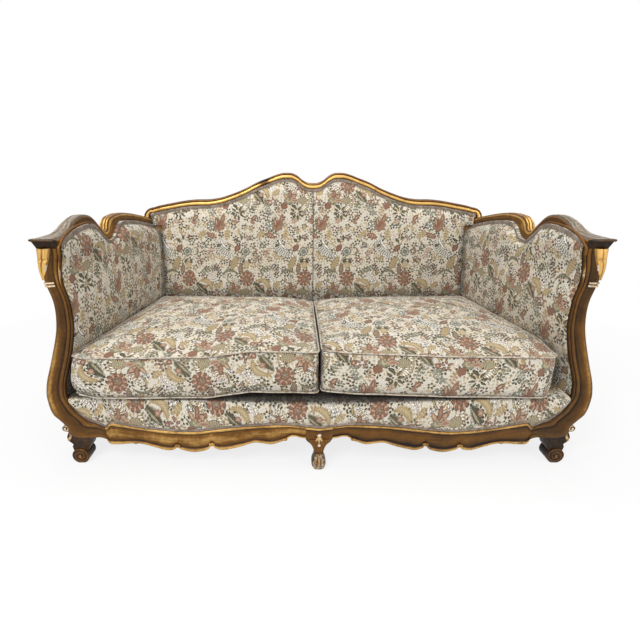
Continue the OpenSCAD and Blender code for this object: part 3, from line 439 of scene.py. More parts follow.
def scatter(m, size, reach, count, *colors):
    """Sprays of count small leaflets that fill the ground between the motifs."""
    t = m.t
    flat = t.scaled(m.place, (1 / size, 1 / size, 0.0))
    cells = t.node("TexVoronoi", out=None, voronoi_dimensions="2D")
    t.feed(cells, {"Vector": flat, "Scale": 1.0, "Randomness": 0.75})
    near = t.scaled(t.vec("SUBTRACT", flat, cells.outputs["Position"]), (1 / reach, 1 / reach, 1.0))
    pick = t.node("SeparateXYZ", cells.outputs["Color"], out=None)
    split = t.node("SeparateXYZ", near, out=None)
    r = t.vec("LENGTH", near, out=1)
    turn = t.times_add(t.math("ARCTAN2", split.outputs[1], split.outputs[0]), count / 2,
                       t.times(pick.outputs[0], 6.3))
    shape = leaflets(t, turn, r, count, 0.67, 0.23)
    tint = t.ramp(pick.outputs[1], *[(k / len(colors), c) for k, c in enumerate(colors)])
    tint.node.color_ramp.interpolation = "CONSTANT"
    m.color = t.blend(t.span(shape, 0.0, 0.12), m.color, tint)
    m.wait()


# The figure of the cloth, told from the heart of its rose at 0, 0
DARK_LEAF, PLUM_LEAF = ((0.02, OLIVE), (0.45, MOSS)), ((0.02, PLUM), (0.5, DUSTY))


def weave_fillers(m):
    scatter(m, 29, 0.5, 4, SAND, SAND, SAGE, SAND)
    scatter(m, 37, 0.4, 5, OLIVE, PLUM, MOSS, OLIVE, TAN)


def weave_bands(m):
    m.arc(-49, 199, 228, 93, 19, 44, (0.03, INK), (0.1, PALE), (0.36, INK), (0.42, SAGE), ribs=46)
    m.arc(-49, 199, 213, 71, 6, 44, (0.05, INK), (0.4, PALE))
    m.arc(-78, 0, 95, 38, 8, 84, (0.05, OLIVE), (0.4, SAGE), teeth=9)
    m.arc(-62, 0, 200, 30, 4, 70, (0.05, INK), (0.5, SAND))
    m.arc(65, -49, 48, 40, 16, 84, (0.02, TAN), (0.45, SAND), teeth=10)
    m.arc(30, 129, -10, 17, 7, 125, (0.05, INK), (0.2, TAN), (0.55, ROSE), teeth=6)
    m.arc(-62, 366, -18, 72, 17, 52, (0.03, INK), (0.1, SAND), (0.42, INK), (0.47, PALE), ribs=52)
    m.arc(-62, 366, -18, 52, 5, 50, (0.05, TAN), (0.4, PALE))
    m.arc(20, 60, 150, 52, 2.5, 40, (0.1, SAGE))
    m.arc(95, 250, 20, 60, 2.5, 46, (0.1, SAGE))
    m.arc(96, 190, 200, 34, 2.5, 120, (0.1, SAGE))
    m.arc(36, 96, 300, 40, 2.5, 90, (0.1, TAN))
    m.arc(-90, 120, 60, 44, 2.5, 80, (0.1, TAN))
    m.arc(-30, -40, 240, 46, 3, 40, (0.1, INK), (0.5, PALE))


def weave_leaves(m):
    m.leaf(-57, 72, 62, 42, 17, (0.02, INK), (0.1, SAND), (0.4, TAN), ribs=24)
    m.leaf(-28, 44, 84, 30, 12, (0.02, INK), (0.14, DUSTY), (0.5, SAGE), ribs=20)
    m.leaf(-56, -20, -56, 38, 16, (0.02, INK), (0.12, PALE), (0.4, TAN), ribs=22)
    m.leaf(60, -48, -46, 44, 21, (0.02, OLIVE), (0.4, MOSS), (0.6, OLIVE), teeth=14)
    m.leaf(57, -51, -46, 36, 5, (0.1, SAGE), (0.5, SAND), ribs=44)
    m.leaf(-10, -66, 6, 30, 18, (0.02, INK), (0.12, SAND), (0.5, SAGE), ribs=30)
    m.leaf(-132, -31, 36, 25, 15, (0.1, TAN), (0.5, SAND), ribs=15)
    m.leaf(70, 206, 36, 30, 16, (0.1, TAN), (0.5, SAND), ribs=15)
    m.leaf(-88, 206, 82, 36, 16, (0.1, SAND), (0.5, TAN), ribs=18)
    m.leaf(-32, 219, 104, 17, 7, (0.05, TAN), (0.5, SAND))
    m.leaf(0, 236, 66, 16, 7, (0.05, TAN), (0.5, SAND))
    m.leaf(28, 226, 80, 15, 6, (0.05, SAND), (0.5, TAN))
    m.leaf(-42, 178, 140, 13, 7, *DARK_LEAF)
    m.leaf(-20, 190, 98, 12, 6, *DARK_LEAF)
    m.leaf(-128, 154, 30, 12, 7, *DARK_LEAF)
    m.leaf(-70, -62, 30, 14, 7, *DARK_LEAF)
    m.leaf(-48, -92, 150, 14, 7, *DARK_LEAF)
    m.leaf(112, -86, 18, 15, 7, (0.05, MOSS), (0.5, SAGE))


def weave_sprigs(m):
    m.ring(-36, 304, 12, 34, 8, *DARK_LEAF, reach=0.66, width=0.12)
    m.ring(8, 190, 40, 17, 5, *PLUM_LEAF)
    m.ring(53, 88, 10, 21, 5, *PLUM_LEAF)
    m.ring(76, 152, 100, 19, 3, (0.02, OLIVE), (0.5, SLATE), width=0.26)
    m.ring(-94, -33, 0, 14, 5, (0.02, SLATE), (0.6, PALE), width=0.2)
    m.ring(128, -70, 20, 23, 5, *PLUM_LEAF)
    m.ring(-49, 264, 0, 15, 5, (0.02, DUSTY), (0.5, BLUSH), width=0.2)
    m.ring(12, 340, 30, 14, 4, (0.02, MOSS), (0.5, SAND), width=0.22)
    m.sprig(92, 44, 24, 32, 15, 5, (0.02, OLIVE), (0.5, SAGE))
    m.sprig(116, 6, -52, 34, 15, 6, (0.02, PLUM), (0.45, PALE))
    m.sprig(-134, 44, -66, 28, 13, 5, (0.02, INK), (0.4, PLUM))
    m.sprig(100, 122, 70, 26, 13, 5, (0.02, DUSTY), (0.5, BLUSH))
    m.sprig(104, 318, 120, 30, 15, 5, (0.02, SAGE), (0.5, SLATE))
    m.sprig(-128, 100, 150, 24, 13, 4, (0.02, SAND), (0.5, TAN))
    m.sprig(40, 330, 60, 26, 14, 4, (0.02, MOSS), (0.5, SAGE))
    m.sprig(-118, 316, 60, 24, 13, 4, (0.02, SAND), (0.5, DUSTY))


def weave_flowers(m):
    m.flower(-162, 244, 0, 22, 28, 7, 0.24, (0.02, INK), (0.1, SAGE), (0.5, SLATE))
    m.ring(-162, 244, 10, 19, 6, (0.1, INK), (0.4, PALE), reach=0.62, width=0.16)
    m.leaf(-160, 200, -24, 29, 14, (0.05, ROSE), (0.6, BLUSH), ribs=17)
    m.flower(-124, 244, 30, 30, 27, 7, 0.2, (0.02, INK), (0.07, DUSTY), (0.4, INK), (0.45, TAN),
             (0.7, ROSE), twist=3.0)
    m.leaf(-122, 252, 60, 33, 12, (0.02, INK), (0.08, DUSTY), (0.45, ROSE))
    m.leaf(-136, 262, 96, 24, 9, (0.02, INK), (0.1, ROSE), (0.6, BLUSH))
    m.leaf(-106, 276, 78, 26, 11, (0.02, INK), (0.1, DUSTY), (0.4, ROSE), (0.8, BLUSH))
    m.flower(0, 63, 90, 21, 15, 5, 0.3, (0.02, TAN), (0.3, SAND))
    m.leaf(-13, 82, -110, 13, 6, *DARK_LEAF)
    m.leaf(13, 82, -70, 13, 6, *DARK_LEAF)
    m.leaf(-40, 142, 52, 22, 14, (0.02, INK), (0.1, ROSE), (0.7, DUSTY), ribs=14)
    m.flower(-3, 126, 0, 22, 22, 8, 0.08, (0.02, INK), (0.12, SAGE), (0.34, PALE), (0.42, INK),
             (0.5, SLATE), (0.72, INK), (0.8, SAGE))
    m.flower(2, 22, 90, 19, 24, 5, 0.4, (0.02, INK), (0.12, DUSTY), (0.5, ROSE))
    m.flower(0, -4, 90, 35, 34, 9, 0.16, (0.01, INK), (0.07, ROSE), (0.4, DUSTY), twist=1.5)
    m.ring(0, -5, 20, 33, 9, (0.1, DUSTY), (0.45, BLUSH), reach=0.7, width=0.1)
    m.flower(0, -6, 100, 20, 19, 6, 0.26, (0.01, INK), (0.12, ROSE), (0.4, DUSTY), (0.75, BLUSH))
    m.flower(1, -7, 90, 9, 8, 5, 0.2, (0.05, INK), (0.25, SAGE), (0.6, SLATE))
    m.flower(-72, 360, 10, 24, 22, 6, 0.2, (0.02, INK), (0.1, SAGE), (0.5, SAND), (0.75, SAGE))
    m.leaf(-50, 376, 40, 24, 10, (0.02, INK), (0.1, DUSTY), (0.5, BLUSH), ribs=9)
    m.leaf(-66, 386, 84, 22, 9, (0.02, INK), (0.1, ROSE), (0.6, DUSTY))
    m.leaf(-46, 358, 4, 22, 9, (0.02, INK), (0.1, BLUSH), (0.5, DUSTY))
    m.leaf(-86, 378, 130, 18, 8, (0.02, INK), (0.1, DUSTY), (0.6, SAND))
    m.leaf(-93, 334, 50, 19, 15, (0.02, INK), (0.1, ROSE))
    m.leaf(40, 281, 46, 18, 10, (0.02, INK), (0.12, ROSE), (0.7, BLUSH))
    m.leaf(32, 260, -28, 14, 8, (0.02, INK), (0.12, DUSTY))
    m.flower(73, 383, 0, 13, 11, 5, 0.2, (0.02, INK), (0.1, DUSTY), (0.6, BLUSH))
    m.flower(101, 352, 0, 11, 11, 5, 0.2, (0.02, INK), (0.1, ROSE), (0.6, BLUSH))


def motif_group(draw):
    """A node group that draws some of the figure over a color."""
    tree = bpy.data.node_groups.new(draw.__name__, "ShaderNodeTree")
    tree.interface.new_socket("Place", in_out="INPUT", socket_type="NodeSocketVector")
    tree.interface.new_socket("Under", in_out="INPUT", socket_type="NodeSocketColor")
    tree.interface.new_socket("Color", in_out="OUTPUT", socket_type="NodeSocketColor")
    start, end = tree.nodes.new("NodeGroupInput"), tree.nodes.new("NodeGroupOutput")
    motifs = Motifs(Tree(tree), start.outputs[0], start.outputs[1])
    motifs.wait()
    draw(motifs)
    tree.links.new(motifs.color, end.inputs[0])
    return tree


def tapestry_material(name):
    m, t, shader = material(name)
    coords = t.node("UVMap", uv_map="UVMap")
    place = t.scaled(coords, (1000.0, 1000.0, 0.0))
    # Threads step the outlines a little, as weaving does
    ragged = t.node("TexNoise", out=1)
    t.feed(ragged.node, {"Vector": place, "Scale": 0.16, "Detail": 3.0})
    place = t.vec("MULTIPLY_ADD", ragged, (7.0, 7.0, 0.0), place)
    fleck = t.noise(t.scaled(place, (0.9, 0.35, 1.0)), 1.0, 2.0, 0.6)
    broad = t.noise(coords, 4.0, 3.0, 0.6)
    color = t.blend(t.span(fleck, 0.42, 0.66), CREAM, srgb(204, 195, 176))
    for draw in (weave_fillers, weave_bands, weave_leaves, weave_sprigs, weave_flowers):
        color = t.node("Group", place, color, node_tree=motif_group(draw))
    # Single threads lie lighter or darker than their neighbors
    thread = t.noise(t.scaled(place, (0.34, 0.4, 1.0)), 1.0, 1.0, 0.5)
    light = t.span(thread, 0.32, 0.68, 1.14, 0.64)
    color = t.vec("MULTIPLY", color, t.node("CombineXYZ", light, light, light))
    color = t.blend(t.span(broad, 0.35, 0.7, 0.0, 0.14), color, srgb(168, 150, 122))
    shade = t.mark("shade")
    color = t.blend(shade, color, srgb(30, 24, 19))
    height, normal = weave(t, coords, 900.0, 0.3, 0.0004)
    normal = t.bump(fleck, 0.25, 0.0008, normal)
    t.feed(shader, {"Base Color": color, "Roughness": 0.9, "Normal": normal, "Sheen Weight": 0.1})
    return m


# Mesh helpers
def put(name, data):
    """A new object in the scene."""
    o = bpy.data.objects.new(name, data)
    bpy.context.scene.collection.objects.link(o)
    return o


def declare(o, skin, body, nodes):
    """Gives a piece its material and its body, and hides the nodes that it stands for."""
    o.data.materials.append(skin)
    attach(o, body)
    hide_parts(*nodes)


def vertex_places(mesh):
    p = np.zeros(len(mesh.vertices) * 3)
    mesh.vertices.foreach_get("co", p)
    return p.reshape(-1, 3)


def loop_vertices(mesh):
    """The vertex at each face corner."""
    at = np.zeros(len(mesh.loops), np.int32)
    mesh.loops.foreach_get("vertex_index", at)
    return at


def set_uv(mesh, places):
    """Lays the figure of the cloth or the run of the wood, with one place in metres a face corner."""
    layer = mesh.uv_layers.new(name="UVMap")
    layer.data.foreach_set("uv", places.astype(np.float32).ravel())


def set_mark(mesh, key, values):
    """Gives each vertex a number that its material reads."""
    attribute = mesh.attributes.new(key, "FLOAT", "POINT")
    attribute.data.foreach_set("value", np.array(values, np.float32).ravel())


def build(name, points, faces, skin, slot, nodes, body="frame", side=1, uv=None, rose=(0, 0),
          corners=None, crease=38.0, **marks):
    """A mesh piece from points in millimetres. rose is where the cloth's figure starts on it, uv or
    corners place the figure a vertex or a face corner, and marks are numbers a vertex."""
    p = np.array(points, float)
    p[:, 0] *= side
    p[:, 1] -= CENTER_Y
    mesh = bpy.data.meshes.new(name)
    mesh.from_pydata((p * MM).tolist(), [], faces)
    if uv is not None:
        places = np.array(uv, float)[loop_vertices(mesh)] * MM
        places[:, 0] *= side
        set_uv(mesh, places - np.array(rose) * MM)
    if corners is not None:
        set_uv(mesh, corners * MM)
    for key, values in marks.items():
        set_mark(mesh, key, values)
    mesh.validate()
    work = bmesh.new()
    work.from_mesh(mesh)
    bmesh.ops.recalc_face_normals(work, faces=work.faces)
    work.to_mesh(mesh)
    work.free()
    mesh.shade_smooth()
    mesh.set_sharp_from_angle(angle=math.radians(crease))
    o = put(name, mesh)
    declare(o, skin, body, nodes)
    return o


def build_padded(name, points, faces, node, **more):
    """A stuffed piece in the tapestry cloth."""
    o = build(name, points, faces, TAPESTRY, "tapestry", [node], **more)


def skin_faces(n, m, caps=True, start=0):
    """Faces over n rings of m points."""
    faces = [(start + i * m + j, start + i * m + (j + 1) % m,
              start + (i + 1) * m + (j + 1) % m, start + (i + 1) * m + j)
             for i in range(n - 1) for j in range(m)]
    if caps:
        faces += [tuple(start + j for j in reversed(range(m))),
                  tuple(start + (n - 1) * m + j for j in range(m))]
    return faces


def run_uv(rings):
    """Distance across the section and along the run, in millimetres."""
    r = np.array(rings, float)
    across = np.concatenate([np.zeros((len(r), 1)),
                             np.cumsum(np.linalg.norm(np.diff(r, axis=1), axis=2), axis=1)], 1)
    middle = r.mean(1)
    along = np.concatenate([[0], np.cumsum(np.linalg.norm(np.diff(middle, axis=0), axis=1))])
    return np.stack([across, np.repeat(along[:, None], r.shape[1], 1)], 2)


class Shell:
    """Several lofts gathered into one mesh."""

    def __init__(self):
        self.points, self.faces, self.uv, self.marks = [], [], [], []
        self.count = 0

    def loft(self, rings, tone=0.0, caps=True, chip=0.0, silver=0.0):
        r = np.array(rings, float)
        n, m = r.shape[:2]
        self.faces += skin_faces(n, m, caps, self.count)
        self.points.append(r.reshape(-1, 3))
        self.uv.append(run_uv(r).reshape(-1, 2))
        rows = [np.broadcast_to(np.array(v, float), (n, m)).reshape(-1)
                for v in (tone, chip, silver)]
        self.marks.append(np.stack(rows, 1))
        self.count += n * m

    def make(self, name, skin, slot, node, side=1, body="frame"):
        tone, chip, silver = np.concatenate(self.marks).T
        build(name, np.concatenate(self.points), self.faces, skin, slot, [node], body, side,
              np.concatenate(self.uv), tone=tone, chip=chip, silver=silver)

    def make_gilt(self, node, ending="", side=1):
        self.make(node + "_wood" + ending, GILT, "gilt_wood", node + ending, side)


def ball(shell, center, radii, tone, chip=0.0):
    """A rounded knob."""
    rings, around = 10, 16
    turns = [2 * math.pi * j / around for j in range(around)]
    out = []
    for i in range(rings + 1):
        a = math.pi * (0.02 + 0.96 * i / rings)
        out.append([[center[0] + radii[0] * math.sin(a) * math.cos(b),
                     center[1] - radii[1] * math.cos(a),
                     center[2] + radii[2] * math.sin(a) * math.sin(b)] for b in turns])
    shell.loft(out, tone=tone, chip=chip)


def unit(rows):
    return rows / np.linalg.norm(rows, axis=1)[:, None]


def circles(path, radius, first, second, sides):
    """A ring of points round each point of a path."""
    a = np.linspace(0, 2 * math.pi, sides, endpoint=False)
    return path[:, None, :] + radius * (np.cos(a)[None, :, None] * first[:, None, :]
                                        + np.sin(a)[None, :, None] * second[:, None, :])


def tube(shell, path, radius, tone, sides=10, chip=0.0, up=(0.0, 1.0, 0.0)):
    """A round bead along a path, with radius one number or one a point."""
    p = np.array(path, float)
    r = np.broadcast_to(np.array(radius, float), (len(p),))
    ahead = unit(np.gradient(p, axis=0))
    first = unit(np.cross(ahead, np.array(up)))
    rings = circles(p, r[:, None, None], first, np.cross(first, ahead), sides)
    shell.loft(rings, tone=tone, chip=chip)


GILT = gilt_material("worn_gilt")
GILT_DARK = gilt_material("bronzed_wood", (128, 92, 48), (92, 62, 32), (52, 34, 18), 0.7)
BEECH = wood_material("sawn_beech", (196, 160, 118), (158, 120, 82))
JUTE = cloth_material("jute_weave", (176, 144, 98), (132, 104, 68), 420.0)
DUST_CLOTH = cloth_material("black_cambric", (34, 32, 31), (22, 21, 20), 900.0)
STEEL = steel_material()
TAPESTRY = tapestry_material("floral_tapestry")
BRAID = cloth_material("gimp_braid_cloth", (170, 154, 138), (116, 102, 90), 300.0, bits=(96, 82, 72))
PIPING = cloth_material("piping_cloth", (222, 214, 198), (184, 168, 144), 700.0, bits=(116, 90, 66))

# Front posts
POST_UPPER = [(1, 0.844, 1.03), (0.973, 0.833, 1.03), (0.917, 0.79, 0.94), (0.857, 0.856, 0.81),
              (0.794, 0.978, 0.78), (0.739, 0.989, 0.78), (0.677, 0.911, 0.86),
              (0.621, 0.778, 0.91), (0.552, 0.567, 0.98), (0.49, 0.367, 1), (0.434, 0.178, 1.015),
              (0.387, 0.06, 1.05), (0.338, 0, 1.13)]
POST_LOWER = [(0.973, 0.782, 0.489, 0.832), (0.849, 0.66, 0.414, 0.763),
              (0.763, 0.573, 0.328, 0.702), (0.715, 0.427, 0.269, 0.672),
              (0.522, 0.374, 0.215, 0.656), (0.296, 0.382, 0.167, 0.641),
              (0.124, 0.393, 0.081, 0.603), (0, 0.359, 0, 0.576)]


def post_edges(steps):
    outer = curve([(HALF_W - s * POST_SWEEP, h * POST_H) for h, s, w in POST_UPPER]
                  + [(mix(SEAM_X, HALF_W, a), b * KNEE_H) for a, b, c, d in POST_LOWER], steps)
    inner = curve([(HALF_W - s * POST_SWEEP - w * POST_W, h * POST_H) for h, s, w in POST_UPPER]
                  + [(mix(SEAM_X, HALF_W, c), d * KNEE_H) for a, b, c, d in POST_LOWER], steps)
    return outer, inner


POST_OUT, POST_IN = post_edges(170)


def post_inner(z):
    return lookup(z, POST_IN[:, ::-1])


def post_outer(z):
    return lookup(z, POST_OUT[:, ::-1])


# Section of a post: across its face from outside, -1, to inside, 1, depth, tone. The bright tone on the
# middle of the outer roll is a painted highlight
POST_SECTION = [(-1, 0.4, -0.2), (-0.99, 0.25, -0.3), (-0.95, 0.14, -0.3), (-0.86, 0.055, 0.1),
                (-0.74, 0.012, 0.5), (-0.58, 0.0, 0.85), (-0.42, 0.01, 0.7), (-0.25, 0.04, 0.3),
                (-0.05, 0.09, 0.05), (0.1, 0.125, -0.1), (0.19, 0.15, -0.45), (0.24, 0.155, -0.55),
                (0.3, 0.125, -0.3), (0.38, 0.08, 0.1), (0.5, 0.05, 0.35), (0.62, 0.055, 0.35),
                (0.7, 0.085, 0.0), (0.76, 0.12, -0.6), (0.81, 0.12, -0.4), (0.87, 0.06, 0.3),
                (0.93, 0.05, 0.5), (0.98, 0.09, 0.2), (1, 0.18, -0.4), (1, 0.94, -0.8),
                (0.94, 1, -0.8), (-0.94, 1, -0.4), (-1, 0.94, -0.1)]
STEM = [(-0.72, 1.1), (-0.7, 0.74), (-0.62, 0.55), (-0.36, 0.42), (0.2, 0.3), (0.4, 0.56),
        (0.34, 0.68), (0.55, 0.8), (0.62, 0.94), (0.5, 1.1)]


def volute(shell, center, radius, y0, y1, turns, relief, tone, chip):
    """The end of a scroll: a disc whose front winds in a spiral ridge, running back to y1."""
    around, rows = 64, 26
    angles = [2 * math.pi * j / around for j in range(around)]
    pitch = radius / turns
    core = pitch * 0.35
    rings, tones = [], []
    for i in range(rows + 1):
        r = radius * (1 - i / rows * 0.985)
        edge = min((radius - r) / (0.08 * radius), 1.0)
        ring, ring_tone = [], []
        for a in angles:
            phase = (r / pitch + a / (2 * math.pi)) % 1.0
            ridge = 0.5 - 0.5 * math.cos(2 * math.pi * phase)
            height = relief * (ridge ** 0.7 if r > core else 1.4)
            ring.append([center[0] + r * math.cos(a),
                         y0 + (relief - height) * edge + (1 - edge) * relief * 0.9,
                         max(center[1] + r * math.sin(a), 0.0)])
            ring_tone.append(mix(-0.9, tone, ridge ** 0.8) if r > core else tone + 0.3)
        rings.append(ring)
        tones.append(ring_tone)
    back = [[[center[0] + radius * math.cos(a), y, max(center[1] + radius * math.sin(a), 0.0)]
             for a in angles] for y in (y1, y1 - 3, mix(y0, y1, 0.5), y0 + relief + 1)]
    chips = [[chip * max(v, 0) for v in row] for row in tones]
    shell.loft(back + rings, tone=[[-1.0] * around] * 3 + [[-0.5] * around] + tones,
               chip=[[0.0] * around] * 4 + chips)


def post_piece(side_name, side):
    s = Shell()
    across, depth, tones = np.array(POST_SECTION).T
    t = (across + 1) / 2
    rings = np.stack([np.stack([mix(o[0], i[0], t), depth * POST_D, mix(o[1], i[1], t)], 1)
                      for o, i in zip(POST_OUT, POST_IN)])
    z = POST_OUT[:, 1]
    # The painted highlight on the outer roll is dulled high up and near the foot, and the inner bead
    # shines under the arm only
    tone = np.tile(tones, (len(z), 1))
    high = smoothstep((z / POST_H - 0.56) / 0.2)[:, None]
    inner_bead = np.exp(-((across - 0.92) / 0.06) ** 2)[None, :]
    outer_roll = np.exp(-((across + 0.5) / 0.4) ** 2)[None, :]
    streak = np.exp(-((z / POST_H - 0.9) / 0.045) ** 2)[:, None]
    tone += streak * inner_bead * 0.8 - high * outer_roll * 0.8 - (1 - streak) * inner_bead * 0.35
    # The right post is made darker than the left: painted shade, as the light falls from the left
    tone -= 0.26 if side < 0 else 0.42
    low = smoothstep((0.3 - z / POST_H) / 0.1)[:, None]
    tone -= low * outer_roll * 0.55
    chip = np.zeros_like(tone)
    for at, reach, first, last in ((0.47, 14, 0, 3), (0.27, 8, 0, 4), (0.9, 9, 20, 22)):
        row = np.exp(-((z / POST_H - at) * POST_H / reach) ** 2)
        chip[:, first:last] = np.maximum(chip[:, first:last], row[:, None])
    s.loft(rings, tone=tone, chip=chip)
    foot_x, foot_h = HALF_W - SCROLL_D * 1.32, KNEE_H * 0.43
    r = SCROLL_D / 2
    volute(s, (foot_x, r * 0.94), r, POST_D * 0.01, POST_D * 0.94, 2.4, 3.2, -0.1, 0.6)
    stem = curve([(foot_x + a * SCROLL_D, b * foot_h) for a, b in STEM], 60)
    depths = [(0.12, 0.94, -0.8), (0.1, 0.98, -0.3), (0.14, 1, -0.6), (0.3, 1, -0.9),
              (0.84, 1, -0.9), (0.88, 0.97, -0.9)]
    middle = stem.mean(0)
    s.loft([[[middle[0] + (q[0] - middle[0]) * k, d * POST_D, middle[1] + (q[1] - middle[1]) * k]
             for q in stem] for d, k, _ in depths], tone=[[c] * len(stem) for _, _, c in depths])
    # The ear beside the leg: a worn knob, a hollow neck and a lower point
    knob = (foot_x + SCROLL_D * 0.56, foot_h * 1.27)
    volute(s, knob, SCROLL_D * 0.2, POST_D * 0.02, POST_D * 0.6, 1.3, 2.6, 0.9, 1.0)
    neck = [(foot_x + a * SCROLL_D, POST_D * 0.16, b * foot_h)
            for a, b in ((0.62, 1.2), (0.42, 1.12), (0.4, 0.98), (0.52, 0.86), (0.6, 0.8))]
    tube(s, curve(neck, 24), np.interp(np.linspace(0, 1, 25), [0, 0.4, 0.8, 1], [5, 4, 6, 2.5]), 0.6,
         chip=0.5)
    ball(s, (foot_x + SCROLL_D * 0.5, POST_D * 0.2, foot_h * 0.87), (7, 8, 6), 0.5, chip=0.4)
    # Carved leaf on the outer front under the arm, ending in a ring
    leaf, leaf_tone, leaf_chip = [], [], []
    for u in np.arange(35) / 34:
        zc = mix(POST_H, POST_H * 0.875, u)
        xo = post_outer(zc) + 3
        width = 34 * (1 - u) ** 0.6 + 7
        swell = 7.5 * math.sin(math.pi * min(0.16 + u, 1)) ** 0.5 + 1.0
        if abs(u - 0.36) < 0.05:
            swell *= 0.55
        ring, row_tone, row_chip = [], [], []
        for j in range(15):
            a = math.pi * j / 14
            flute = 0.8 + 0.2 * abs(math.cos(3 * a))
            ring.append([xo - width * (0.5 - 0.5 * math.cos(a)),
                         4 - (swell + 3) * math.sin(a) * flute, zc])
            row_tone.append(1.0 if flute > 0.88 else 0.2)
            row_chip.append(float(j > 10 and 0.5 < u < 0.98))
        ring += [[xo - width, 12, zc], [xo, 12, zc]]
        leaf.append(ring)
        leaf_tone.append(row_tone + [0, 0])
        leaf_chip.append(row_chip + [0, 0])
    s.loft(leaf, tone=leaf_tone, chip=leaf_chip)
    for zc in (POST_H * 0.862, POST_H * 0.85):
        xo, xi = post_outer(zc) + 1.5, mix(post_outer(zc), post_inner(zc), 0.55)
        path = [(xo, POST_D * 0.5, zc), (xo, POST_D * 0.16, zc), (xo - 5, 2.5, zc),
                (mix(xo, xi, 0.5), 1.5, zc), (xi, 6, zc)]
        tube(s, curve(path, 24), 3.2, 0.6, chip=0.7, up=(0, 0, 1))
    s.make_gilt("front_post", "_" + side_name, side)


# Arm rails
ARM = [(-0.005, 0.392, -0.005, 0), (0.083, 0.456, 0.083, 0), (0.123, 0.6, 0.135, 0.12),
       (0.169, 0.848, 0.183, 0.468), (0.238, 1, 0.242, 0.62), (0.313, 0.886, 0.301, 0.506),
       (0.37, 0.468, 0.345, 0.127), (0.416, 0.076, 0.408, -0.316), (0.443, 0.127, 0.461, -0.316),
       (0.455, 0.392, 0.491, -0.089), (0.485, 0.608, 0.517, 0.165), (0.539, 0.684, 0.552, 0.304),
       (0.608, 0.696, 0.608, 0.316), (0.715, 0.57, 0.712, 0.19), (0.853, 0.304, 0.849, -0.076)]
ARM_END = (-0.04, -0.42)
ARM_END_H = POST_H + ARM_END[1] * ARM_RISE
ARM_RUN = lean_y(POST_H)
ARM_STEPS = 204
_end = [(frame_y(POST_H + e * ARM_RISE), POST_H + e * ARM_RISE) for e in ARM_END]
ARM_TOP = curve([(a * ARM_RUN, POST_H + b * ARM_RISE) for a, b, c, d in ARM] + _end[:1], ARM_STEPS)
ARM_LOW = curve([(c * ARM_RUN, POST_H + d * ARM_RISE) for a, b, c, d in ARM] + _end[1:], ARM_STEPS)
_over = ARM_LOW[:, 0] < POST_D + OVERRUN
ARM_LOW[_over, 1] = np.maximum(ARM_LOW[_over, 1], POST_H)
LIP_T, LIP_PROUD = 9, 11
_lip = ARM_TOP[:, 0] < LIP_PROUD - 4
ARM_LOW[_lip, 1] = ARM_TOP[_lip, 1] - LIP_T
ARM_FRONT_X = HALF_W - POST_UPPER[0][1] * POST_SWEEP - POST_W / 2
ARM_REAR_X = STILE_OUT - STILE_W / 2
NOSE_W, NOSE_OUT = POST_W * 1.28, POST_W * 0.13
NOSE = [(-0.01, 1), (0.02, 0.95), (0.08, 0.55), (0.16, 0.1), (0.24, 0), (1, 0)]


def arm_low(y):
    return lookup(y, ARM_LOW)


def arm_x(y):
    return mix(ARM_FRONT_X, ARM_REAR_X, y / ARM_RUN) + lookup(y / ARM_RUN, NOSE) * NOSE_OUT


def arm_width(y):
    return mix(ARM_W, NOSE_W, lookup(y / ARM_RUN, NOSE))


# Section of an arm rail, in shares: from top to underside, from inside to outside, tone, silver
ARM_SECTION = [(1, 0.06, -0.8, 0), (0.86, 0.02, -0.3, 0), (0.7, 0.0, 0.1, 0), (0.56, 0.01, 0.3, 0),
               (0.48, 0.03, -0.6, 0), (0.42, 0.02, 0.4, 0), (0.3, 0.02, 0.7, 0), (0.2, 0.05, 0.5, 0.2),
               (0.14, 0.1, -0.5, 0.2), (0.1, 0.16, -0.6, 0.3), (0.04, 0.2, 0.4, 0.6),
               (0.02, 0.28, 0.7, 1), (0.06, 0.34, -0.2, 0.8), (0.07, 0.4, -0.4, 0.6),
               (0.02, 0.46, 0.5, 1), (0.0, 0.54, 0.6, 1), (0.03, 0.62, 0.2, 1), (0.09, 0.68, -0.5, 0.5),
               (0.06, 0.76, 0.3, 0.9), (0.04, 0.84, 0.5, 1), (0.1, 0.92, 0.4, 0.7),
               (0.2, 0.97, 0.2, 0.3), (0.45, 1.0, 0.1, 0), (0.8, 0.99, -0.2, 0), (1, 0.94, -0.8, 0)]


def arm_piece(side_name, side):
    s = Shell()
    down, across, tone, silver = np.array(ARM_SECTION).T
    rings, tones, silvers = [], [], []
    for top, low in zip(ARM_TOP, ARM_LOW):
        y = mix(top[0], low[0], down)
        z = mix(top[1], low[1], down)
        x = arm_x(top[0]) + (across - 0.5) * arm_width(top[0])
        # The side under the lip stands back by the post
        under = smoothstep((top[1] - z - LIP_T) / 5) * (1 - smoothstep((top[0] - 40) / 60))
        x -= under * np.where(across > 0.9, 7.0, 0.0)
        rings.append(np.stack([x, y, z], 1))
        worn = 1 - smoothstep((top[0] / ARM_RUN - 0.3) / 0.12)
        silvers.append(silver * worn)
        # A painted highlight on the front face of the rear hump's scroll, at the dip
        bright = np.exp(-((top[0] / ARM_RUN - 0.462) / 0.018) ** 2)
        tones.append(np.clip(tone - 0.45 * worn + bright * 0.25, -1, 1.2))
    s.loft(rings, tone=tones, silver=silvers)
    arm_bead(s)
    s.make_gilt("arm_rail", "_" + side_name, side)


